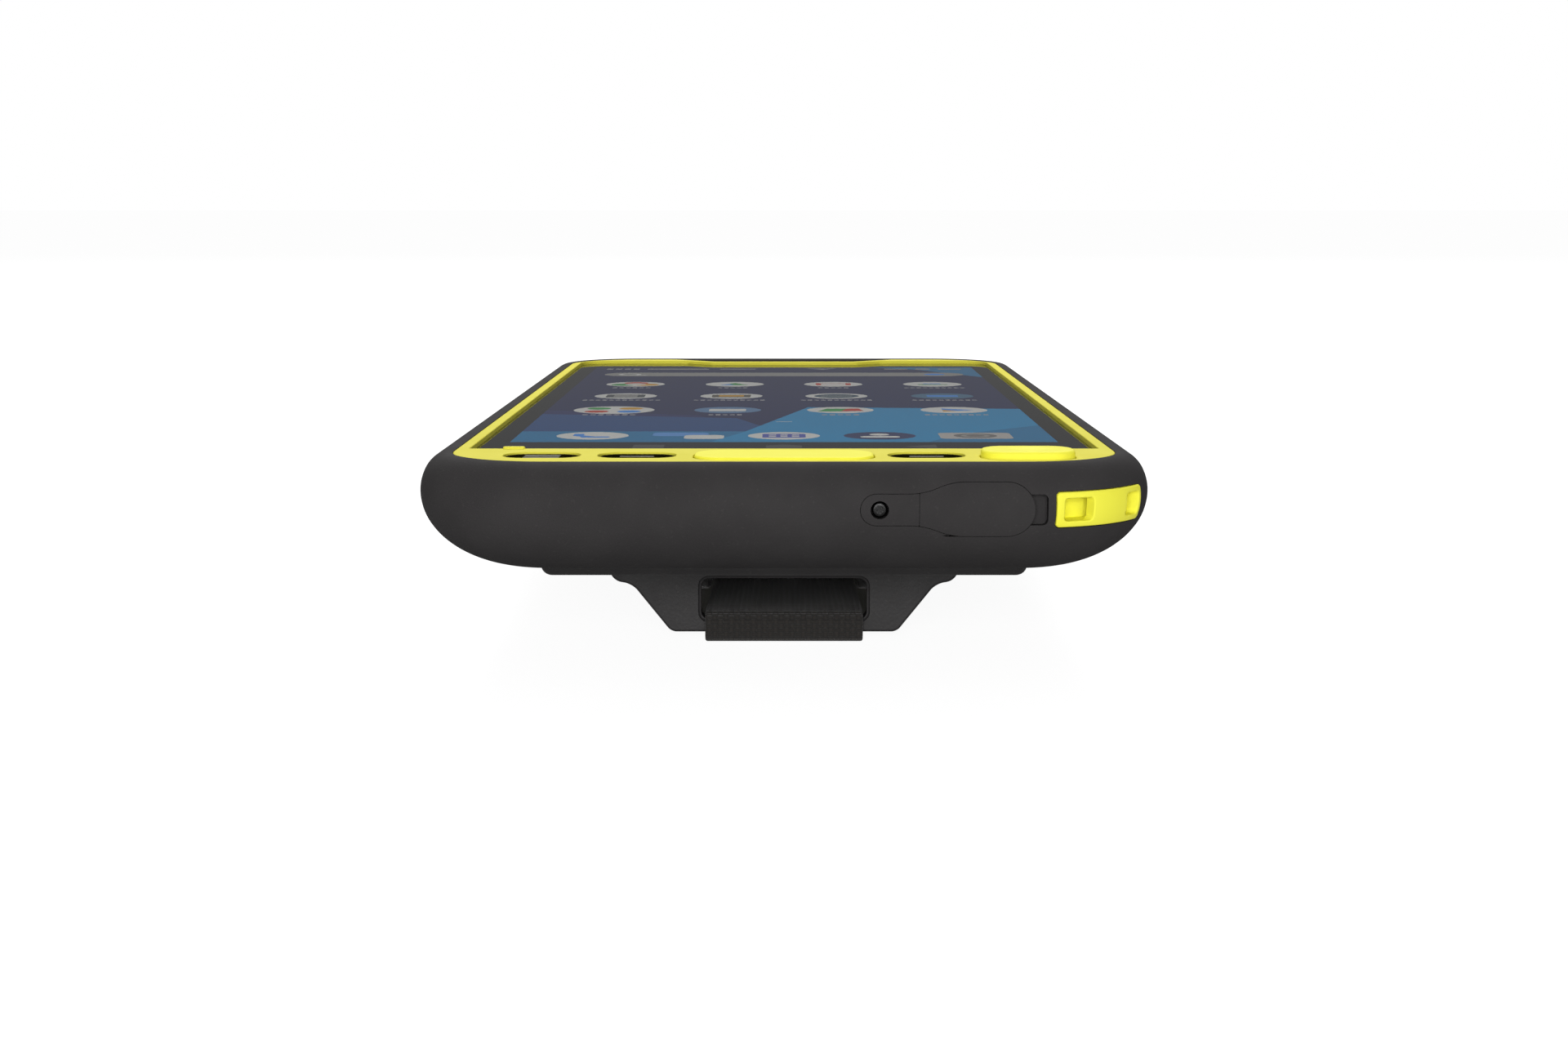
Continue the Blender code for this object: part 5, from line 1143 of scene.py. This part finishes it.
def end_screw():
    low, _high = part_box("port_cover_screw")
    head = disc((0, 0, 0), 0.00086, low.y + 0.00005, low.y + 0.0009, steps=40, foot=0.00022, rim_steps=4)
    recess = driver_recess((0, 0), 0.00050, low.y - 0.0005, low.y + 0.0005)
    for bm in (head, recess):
        turn_to_end(bm)
        bmesh.ops.translate(bm, vec=(SCREW_X, 0, PORT_Z), verts=bm.verts)
    screw = mesh_object("tab_screw", head)
    carve(screw, [recess])
    piece(screw, SCREW_BLACK, stands_for=["port_cover_screw"])


for place in (1, 2, 3, 4):
    back_screw(f"case_screw_{place}")
for which in ("near", "far"):
    for hand in ("left", "right"):
        back_screw(f"{which}_bracket_screw_{hand}")
end_screw()


# ---------------------------------------------------------------- side keys
# The sunk marks on a side key: along and up from its middle, half as wide and half as tall as each is.
SIDE_MARKS = {
    "volume_rocker": [(-0.0085, 0.0, 0.0011, 0.00022), (0.0085, 0.0, 0.0011, 0.00022),
                      (0.0085, 0.0, 0.00022, 0.0011)],
    "power_key": [(0.0, dz, 0.0022, 0.0002) for dz in (-0.0009, 0.0, 0.0009)],
}


def side_key(name):
    low, high = SIDE_KEYS[name]
    left = low.x + high.x < 0
    cap = mesh_object(name + "_cap", slab(low, high, axis=0, corner=0.0010, steps=8,
                                          rim=0 if left else 0.00035, foot=0.00035 if left else 0,
                                          rim_steps=4))
    outer = low.x if left else high.x
    y, z = (low.y + high.y) / 2, (low.z + high.z) / 2
    reach = sorted((outer, outer + (0.0002 if left else -0.0002)))
    tools = [slab((reach[0] - 0.0002, y + dy - wide, z + dz - tall),
                  (reach[1], y + dy + wide, z + dz + tall), axis=0, corner=min(wide, tall) * 0.9, steps=4)
             for dy, dz, wide, tall in SIDE_MARKS.get(name, [(0.0, 0.0, 0.0005, 0.0005)])]
    carve(cap, tools)
    piece(cap, BRACKET_PLASTIC, name + "_body", [name])


for side_name in SIDE_KEYS:
    side_key(side_name)


# ---------------------------------------------------------------- back plate, camera and flash
CAMERA_LOW, CAMERA_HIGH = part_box("camera_window")
CAMERA_Y = (CAMERA_LOW.y + CAMERA_HIGH.y) / 2
FLASH_LOW, FLASH_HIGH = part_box("flash_lens")
FLASH_X = (FLASH_LOW.x + FLASH_HIGH.x) / 2
FLASH_STEP = 0.00018           # how deep the flash cover's rings are


def node_middle(node):
    low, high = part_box(node)
    return (low + high) / 2


def back_plate():
    low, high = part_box("back_plate")
    cover = mesh_object("rear_plate", slab(low, high, corner=0.0015, steps=8, foot=0.0012, rim_steps=6))
    under, over = low.z - 0.001, high.z + 0.001
    tools = [disc((0, CAMERA_Y, 0), 0.00592, under, CAMERA_HIGH.z + 0.0002, steps=64),
             disc((0, CAMERA_Y, 0), 0.0050, under, over, steps=64),
             disc((FLASH_X, CAMERA_Y, 0), 0.0021, under, over)]
    for i in (1, 2, 3, 4):
        middle = node_middle(f"case_screw_{i}")
        tools.append(disc((middle.x, middle.y, 0), 0.00205, under, low.z + 0.0015))
        tools.append(disc((middle.x, middle.y, 0), 0.0012, under, over, steps=24))
    for end in ("near", "far"):
        for hand in ("left", "right"):
            middle = node_middle(f"{end}_bracket_screw_{hand}")
            tools.append(disc((middle.x, middle.y, 0), 0.0012, under, over, steps=24))
    for i in range(5):
        x, y = (i - 2) * 0.0022 - 0.0170, NEAR + BACK_OPENING + 0.0090
        tools.append(slab((x - 0.0006, y - 0.003, under), (x + 0.0006, y + 0.003, over),
                          corner=0.00058, steps=5))
    carve(cover, tools)
    piece(cover, BRACKET_PLASTIC, stands_for=["back_plate"])


def camera_eye():
    window = mesh_object("rear_camera_window", disc((0, CAMERA_Y, 0), 0.0058, CAMERA_LOW.z, CAMERA_HIGH.z,
                                                    steps=72, foot=0.0002, rim_steps=2))
    piece(window, LENS, stands_for=["camera_window"])
    level = CAMERA_HIGH.z + 0.00008
    bm = bmesh.new()
    bmesh.ops.create_circle(bm, cap_ends=True, segments=64, radius=0.0052)
    bmesh.ops.translate(bm, vec=(0, CAMERA_Y, level), verts=bm.verts)
    for width, depth in ((0.0016, 0.0), (0.0002, 0.00025), (0.0008, 0.0), (0.0001, 0.0002), (0.0005, 0.0)):
        centre = [f for f in bm.faces if len(f.verts) > 4]
        bmesh.ops.inset_region(bm, faces=centre, thickness=width, depth=0.0)
        centre = [f for f in bm.faces if len(f.verts) > 4]
        bmesh.ops.translate(bm, vec=(0, 0, depth), verts=verts_of(centre))
    rings = mesh_object("camera_rings", bm)
    rings.modifiers.new("wall", "SOLIDIFY").thickness = 0.00004
    settle(rings)
    piece(rings, BLACK_STEEL, sharp=20)
    ball = bmesh.new()
    bmesh.ops.create_icosphere(ball, subdivisions=4, radius=0.0016)
    bmesh.ops.scale(ball, vec=(1, 1, 0.2), verts=ball.verts)
    bmesh.ops.translate(ball, vec=(0, CAMERA_Y, level + 0.0004), verts=ball.verts)
    piece(mesh_object("camera_front_element", ball), LENS_COATING)


def flash():
    bm = disc((FLASH_X, CAMERA_Y, 0), 0.0020, FLASH_LOW.z, FLASH_HIGH.z, steps=40)

    def front():
        return [f for f in bm.faces if len(f.verts) > 4 and f.calc_center_median().z < FLASH_LOW.z + 0.0004]

    for i in range(4):
        bmesh.ops.inset_region(bm, faces=front(), thickness=0.0003, depth=0.0)
        bmesh.ops.translate(bm, vec=(0, 0, FLASH_STEP if i % 2 == 0 else -FLASH_STEP), verts=verts_of(front()))
    piece(mesh_object("flash_cover", bm), FLASH_CLEAR, stands_for=["flash_lens"], sharp=15)


LENS_COATING = moulded("coated_lens", (0.020, 0.012, 0.060), (0.008, 0.020, 0.050), 0.04, 0.02, grain=0.002,
                       mottle=0.0012, depth=0.0, dust=0.0, **{"Coat Weight": 1.0, "Coat Roughness": 0.02})
FLASH_CLEAR = moulded("flash_diffuser", (0.72, 0.70, 0.50), (0.66, 0.62, 0.36), 0.15, 0.05, grain=0.0006,
                      mottle=0.0016, depth=0.00001, dust=0.0, **{"Coat Weight": 0.6})
back_plate()
camera_eye()
flash()


# ---------------------------------------------------------------- strap brackets
BAR_TOP_Z = 0.00275
SLOT_TOP_Z = 0.00805
SLOT_HALF = 0.01055
BRACKET_WALL = 0.0032
EDGE = 0.00035                 # how far the brackets' edges are rounded


def bracket(node, word):
    """A slotted wall with a screwed base behind it. The slot's mouth is rounded at both faces."""
    low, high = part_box(node)
    inward = 1 if node == "near_bracket" else -1
    face = low.y if inward > 0 else high.y
    ear = high.z - 0.0041
    half = [(0.01435, low.z, 0.0014), (0.01925, ear, 0.0026), (high.x, ear + 0.0005, 0.0018),
            (high.x, high.z, 0.0)]
    outline = half + [(-x, z, r) for x, z, r in reversed(half)]
    near, far = sorted((face, face + inward * BRACKET_WALL))
    wall = mesh_object(word, plate(outline, near, far, axis=1, steps=10, rim=EDGE, foot=EDGE))
    base_near, base_far = sorted((face + inward * BRACKET_WALL / 2, face + inward * (high.y - low.y)))
    seat = high.z - 0.0033
    carve(wall, [slab((low.x + 0.0006, base_near, seat), (high.x - 0.0006, base_far, high.z - 0.00002),
                      corner=0.0015, steps=8, foot=EDGE)], "UNION")
    mouth = SLOT_HALF + EDGE
    tools = [slab((-SLOT_HALF, low.y - 0.001, BAR_TOP_Z), (SLOT_HALF, high.y + 0.001, SLOT_TOP_Z), axis=1,
                  corner=0.0010, steps=8),
             slab((-mouth, near - 0.001, BAR_TOP_Z - EDGE), (mouth, near + EDGE, SLOT_TOP_Z + EDGE),
                  axis=1, corner=0.0010 + EDGE, steps=8, rim=EDGE * 0.98),
             slab((-mouth, far - EDGE, BAR_TOP_Z - EDGE), (mouth, far + 0.001, SLOT_TOP_Z + EDGE),
                  axis=1, corner=0.0010 + EDGE, steps=8, foot=EDGE * 0.98)]
    for hand in ("left", "right"):
        middle = node_middle(f"{node}_screw_{hand}")
        tools.append(disc((middle.x, middle.y, 0), 0.0021, low.z, seat + 0.0014))
        tools.append(disc((middle.x, middle.y, 0), 0.0012, low.z, high.z + 0.001, steps=24))
    carve(wall, tools)
    piece(wall, BRACKET_PLASTIC, stands_for=[node])


bracket("near_bracket", "near_strap_bracket")
bracket("far_bracket", "far_strap_bracket")


# ---------------------------------------------------------------- hand strap
STRAP_LOW, STRAP_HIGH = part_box("hand_strap")
WEB = 0.0009
STRAP_TOP = 0.00205
JOIN = 0.0335                  # from a bracket's outer face to where the two layers meet


def map_cloth(bm, place):
    """Gives a shape its cloth map, in metres, from where each point lies."""
    layer = bm.loops.layers.uv.get("cloth") or bm.loops.layers.uv.new("cloth")
    for face in bm.faces:
        for loop in face.loops:
            loop[layer].uv = place(loop.vert.co)


def strap_loop():
    """One band round both brackets' bars: its middle line, widened, creased round and thickened."""
    near_face, far_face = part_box("near_bracket")[0].y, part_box("far_bracket")[1].y
    y0, y1 = STRAP_LOW.y + WEB / 2, STRAP_HIGH.y - WEB / 2
    lift = BAR_TOP_Z + 0.00025 + WEB / 2
    upper = STRAP_TOP - WEB / 2
    turns = [(y0, WEB / 2, 0.0007), (y1, WEB / 2, 0.0007), (y1, lift, 0.0009),
             (far_face - BRACKET_WALL - 0.0010, lift, 0.0030), (far_face - JOIN, upper, 0.0080),
             (near_face + JOIN, upper, 0.0080), (near_face + BRACKET_WALL + 0.0010, lift, 0.0030),
             (y0, lift, 0.0009)]
    bm = bmesh.new()
    row = [bm.verts.new((-STRAP_HIGH.x, y, z)) for y, z, _r in turns]
    edges = [bm.edges.new(pair) for pair in zip(row, row[1:] + row[:1])]
    grown = bmesh.ops.extrude_edge_only(bm, edges=edges)["geom"]
    bmesh.ops.translate(bm, vec=(2 * STRAP_HIGH.x, 0, 0), verts=verts_in(grown))
    layer = bm.loops.layers.uv.new("cloth")
    run = 0.0
    for i, vert in enumerate(row):
        after = row[(i + 1) % len(row)]
        length = (after.co - vert.co).length
        face = next(f for f in vert.link_faces if after in f.verts)
        for loop in face.loops:
            step = (loop.vert.co.yz - vert.co.yz).length
            loop[layer].uv = (loop.vert.co.x, run + (length if step > length / 2 else 0.0))
        run += length
    creases = [(next(e for e in v.link_edges if along(e, 0)), r) for v, (_y, _z, r) in zip(row, turns)]
    spots = [((e.verts[0].co + e.verts[1].co) / 2, r) for e, r in creases]
    for spot, radius in spots:
        edge = min((e for e in bm.edges if along(e, 0)),
                   key=lambda e: ((e.verts[0].co + e.verts[1].co) / 2 - spot).length)
        half_turn = edge.calc_face_angle(0.0) / 2
        bevel(bm, [edge], radius * math.tan(half_turn), 8)
    bmesh.ops.recalc_face_normals(bm, faces=bm.faces)
    return bm


def hand_strap():
    strap = mesh_object("webbing_loop", strap_loop())
    wall = strap.modifiers.new("wall", "SOLIDIFY")
    wall.thickness = WEB
    wall.offset = 0.0
    edge = strap.modifiers.new("edges", "BEVEL")
    edge.width = 0.00028
    edge.segments = 3
    edge.limit_method = "ANGLE"
    edge.angle_limit = math.radians(60)
    settle(strap)
    piece(strap, WEBBING, stands_for=["hand_strap"], sharp=60)


def stitches(name, places):
    """Short rounded threads. Each place is a point, a length along and a turn about Z."""
    bm = bmesh.new()
    for point, length, turn in places:
        made = bmesh.ops.create_cube(bm, size=1.0)["verts"]
        bmesh.ops.scale(bm, vec=(0.00026, length, 0.00018), verts=made)
        edges = list({e for v in made for e in v.link_edges})
        verts = verts_of(bevel(bm, edges, 0.00006, 1)["faces"])
        bmesh.ops.rotate(bm, matrix=Matrix.Rotation(turn, 3, "Z"), verts=verts)
        bmesh.ops.translate(bm, vec=point, verts=verts)
    piece(mesh_object(name, bm), THREAD)


def strap_stitching():
    """A boxed cross of stitches at each end, where the two layers are sewn together."""
    near_face, far_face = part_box("near_bracket")[0].y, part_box("far_bracket")[1].y
    places = []
    for start, way in ((near_face + JOIN - 0.011, 1), (far_face - JOIN + 0.011, -1)):
        length, half = 0.0100, 0.0082
        for i in range(6):
            y = start + way * (i + 0.5) * length / 6
            for x in (-half, half):
                places.append(((x, y, 0.00001), 0.00125, 0.0))
            slope = math.atan2(2 * half, length)
            for hand in (-1, 1):
                x = hand * (-half + (i + 0.5) * 2 * half / 6)
                places.append(((x, y, 0.00001), 0.0022, -hand * way * slope))
        for i in range(9):
            x = -half + (i + 0.5) * 2 * half / 9
            for y in (start, start + way * length):
                places.append(((x, y, 0.00001), 0.00125, math.pi / 2))
    stitches("strap_stitching", places)


hand_strap()
strap_stitching()


# ---------------------------------------------------------------- palm pad
PAD_LOW, PAD_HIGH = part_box("palm_pad")
PAD_LINES = (-0.0090, 0.0090)  # where the pad is sewn down, lengthways
PAD_LINE_WIDTH, PAD_LINE_DEPTH = 0.0009, 0.00062
PAD_GROW = 10.0                # the cloth is worked at ten times its size, where the solver is steady


def swell(obj, pressure, frames, cap):
    """Blows a closed cloth up a little and lets no point go further than the cap."""
    start = [v.co.copy() for v in obj.data.vertices]
    cloth = obj.modifiers.new("swell", "CLOTH")
    settings = cloth.settings
    settings.use_pressure = True
    settings.uniform_pressure_force = pressure
    settings.effector_weights.gravity = 0.0
    settings.tension_stiffness = settings.compression_stiffness = 30.0
    settings.quality = 5
    cloth.collision_settings.use_collision = False
    scene = bpy.context.scene
    scene.frame_start, scene.frame_end = 1, frames
    for frame_number in range(1, frames + 1):
        scene.frame_set(frame_number)
    settle(obj)
    scene.frame_set(1)
    for vert, was in zip(obj.data.vertices, start):
        step = vert.co - was
        if step.length > cap:
            vert.co = was + step.normalized() * cap


def palm_pad():
    """A stuffed pad astride the strap: remeshed, swollen as cloth, then sewn down in two lines."""
    middle = (PAD_LOW + PAD_HIGH) / 2
    inset = Vector((0.0006, 0.0006, 0.00055))
    low, high = (PAD_LOW + inset - middle) * PAD_GROW, (PAD_HIGH - inset - middle) * PAD_GROW
    pad = mesh_object("stuffed_pad", slab(low, high, corner=0.114, steps=12, rim=0.008, foot=0.008,
                                          rim_steps=3))
    reach = STRAP_HIGH.x + 0.0003
    over_strap = STRAP_TOP + 0.00025 + inset.z
    carve(pad, [slab((-reach * PAD_GROW, low.y * 1.1, low.z - 0.01),
                     (reach * PAD_GROW, high.y * 1.1, (over_strap - middle.z) * PAD_GROW), rim=0.003,
                     rim_steps=2)])
    remesh = pad.modifiers.new("even_skin", "REMESH")
    remesh.mode = "VOXEL"
    remesh.voxel_size = 0.005
    settle(pad)
    swell(pad, 4.0, 20, 0.006)
    bm = bmesh.new()
    bm.from_mesh(pad.data)
    bmesh.ops.scale(bm, vec=(1 / PAD_GROW,) * 3, verts=bm.verts)
    bmesh.ops.translate(bm, vec=middle, verts=bm.verts)
    for vert in bm.verts:
        for line in PAD_LINES:
            away = (vert.co.x - line) / PAD_LINE_WIDTH
            vert.co.z -= PAD_LINE_DEPTH * math.exp(-away * away) if vert.co.z > middle.z else 0.0
        vert.co.z = max(vert.co.z, PAD_LOW.z + 0.00005)
        if vert.co.z < STRAP_TOP + 0.0002 and abs(vert.co.x) < STRAP_HIGH.x + 0.0001:
            vert.co.x = math.copysign(STRAP_HIGH.x + 0.0001, vert.co.x)
    for _round in range(2):
        bmesh.ops.smooth_vert(bm, verts=bm.verts, factor=0.4, use_axis_x=True, use_axis_y=True,
                              use_axis_z=True)
    map_cloth(bm, lambda co: (co.x + co.z * 0.5, co.y + co.z * 0.5))
    bm.to_mesh(pad.data)
    bm.free()
    soft = pad.modifiers.new("smooth_skin", "SUBSURF")
    soft.levels = soft.render_levels = 1
    piece(pad, PAD_CLOTH, stands_for=["palm_pad"], sharp=180)


def pad_piping():
    """A cord sewn round the pad's edge, half way up."""
    middle = (PAD_LOW + PAD_HIGH) / 2
    low, high = PAD_LOW + Vector((1, 1, 0)) * 0.0004, PAD_HIGH - Vector((1, 1, 0)) * 0.0004
    outline = slab((low.x, low.y, middle.z), (high.x, high.y, middle.z + 0.001), corner=0.0116, steps=16)
    bmesh.ops.delete(outline, geom=[f for f in outline.faces if f.normal.z < 0.5], context="FACES")
    bmesh.ops.translate(outline, vec=(0, 0, -0.001), verts=outline.verts)
    bmesh.ops.delete(outline, geom=outline.faces[:], context="FACES_ONLY")
    ring = mesh_object("pad_piping", outline)
    bpy.ops.object.select_all(action="DESELECT")
    ring.select_set(True)
    bpy.context.view_layer.objects.active = ring
    bpy.ops.object.convert(target="CURVE")
    ring.data.bevel_depth = 0.00045
    ring.data.bevel_resolution = 3
    bpy.ops.object.convert(target="MESH")
    bm = bmesh.new()
    bm.from_mesh(ring.data)
    map_cloth(bm, lambda co: (co.x + co.y, co.z * 2))
    bmesh.ops.recalc_face_normals(bm, faces=bm.faces)
    bm.to_mesh(ring.data)
    bm.free()
    piece(ring, PAD_CLOTH, sharp=60)


palm_pad()
pad_piping()
stitches("pad_stitching", [((x, PAD_LOW.y + 0.0046 + i * 0.0020, PAD_HIGH.z - 0.00085), 0.0013, 0.0)
                           for x in PAD_LINES for i in range(14)])


# ---------------------------------------------------------------- finishes of the pieces inside
INSIDE = (
    (HOUSING_PLASTIC, ("rear_housing",)),
    (MAGNESIUM, ("chassis",)),
    (BOARD_GREEN, ("main_board", "charge_board")),
    (SPRING_STEEL, ("shield_can", "earpiece_speaker", "vibration_motor", "usb_socket")),
    (BLACK_STEEL, ("rear_camera", "loudspeaker")),
    (BATTERY_FILM, ("battery_pack",)),
    (SEAL_FOAM, ("display_seal",)),
    (CERAMIC, ("satellite_antenna",)),
    (FLEX_FILM, ("key_flex", "link_flex", "side_flex_left", "side_flex_right")),
    (LENS_COATING, ("front_camera",)),
)
for material, nodes in INSIDE:
    for node_name in nodes:
        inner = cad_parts[node_name]
        inner.data.materials.clear()
        inner.data.materials.append(material)


# ---------------------------------------------------------------- stage, light and camera
def pale_floor():
    """White all round, with a deep painted shadow under the strap."""
    bm = bmesh.new()
    bmesh.ops.create_grid(bm, x_segments=1, y_segments=1, size=40.0)
    floor = mesh_object("floor", bm)
    paint = moulded("pale_floor", (0.24, 0.24, 0.24), (0.24, 0.24, 0.24), 0.9, 0.0, dust=0.0,
                    **{"Specular IOR Level": 0.0})
    w = Wiring(paint.node_tree)
    shader = paint.node_tree.nodes["Principled BSDF"]
    seen = w.node("LightPath").outputs["Is Camera Ray"]
    place = w.node("SeparateXYZ", Vector=w.node("TexCoord").outputs["Object"])
    # Painted shadow: in a patch under the strap, the glow the camera sees is cut to near black.
    beside = w.ramp(w.maths("ABSOLUTE", place.outputs["X"]), 0.0125, 0.0145)
    beyond = w.ramp(w.maths("ABSOLUTE", w.maths("ADD", place.outputs["Y"], 0.010)), 0.033, 0.036)
    outside_painted_shadow = w.maths("MAXIMUM", beside, beyond)
    lit = w.mix(outside_painted_shadow, (0.004, 0.004, 0.003, 1), (0.93, 0.93, 0.93, 1))
    w.put(w.mix(seen, (0.20, 0.20, 0.20, 1), lit), shader.inputs["Emission Color"])
    shader.inputs["Emission Strength"].default_value = 1.0
    floor.data.materials.append(paint)
    floor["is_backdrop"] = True


def studio_world():
    """Even white light. Mirror-like surfaces see it fade to grey towards the horizon."""
    world = bpy.data.worlds.new("studio")
    bpy.context.scene.world = world
    world.use_nodes = True
    w = Wiring(world.node_tree)
    height = w.node("SeparateXYZ", Vector=w.node("TexCoord").outputs["Generated"]).outputs["Z"]
    seen = w.ramp(height, 0.12, 0.45, 0.13, 0.9)
    mirror = w.node("LightPath").outputs["Is Glossy Ray"]
    reflected = w.node("CombineXYZ", X=seen, Y=seen, Z=seen).outputs["Vector"]
    level = w.mix(mirror, (0.22, 0.22, 0.22, 1), reflected)
    camera_sees = w.mix(w.node("LightPath").outputs["Is Camera Ray"], level, (1, 1, 1, 1))
    w.put(camera_sees, world.node_tree.nodes["Background"].inputs["Color"])


def soft_light(name, place, target, width, height, power):
    light = bpy.data.objects.new(name, bpy.data.lights.new(name, "AREA"))
    light.data.shape = "RECTANGLE"
    light.data.size, light.data.size_y = width, height
    light.data.energy = power
    light.location = place
    way = Vector(target) - Vector(place)
    light.rotation_euler = way.to_track_quat("-Z", "Y").to_euler()
    bpy.context.scene.collection.objects.link(light)


pale_floor()
studio_world()
soft_light("front_box", (-0.05, -1.3, 0.22), (0, 0, 0.02), 0.7, 0.5, 13.0)
soft_light("top_box", (0.0, 0.8, 1.1), (0, 0, 0), 1.0, 1.0, 17.0)
bpy.context.scene.view_settings.view_transform = "Standard"
camera = bpy.data.objects.new("camera", bpy.data.cameras.new("camera"))
bpy.context.scene.collection.objects.link(camera)
camera.data.lens = 50
camera.data.sensor_width = 36
camera.data.clip_start = 0.01
camera.location = (0, NEAR - 0.2386, GLASS_Z + 0.0288)
camera.rotation_euler = (math.radians(81.76), 0, 0)
bpy.context.scene.camera = camera

for label_text, corners in (("cad", cad_bounds), ("looks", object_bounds())):
    print(label_text, [[round(c, 5) for c in corner] for corner in corners])
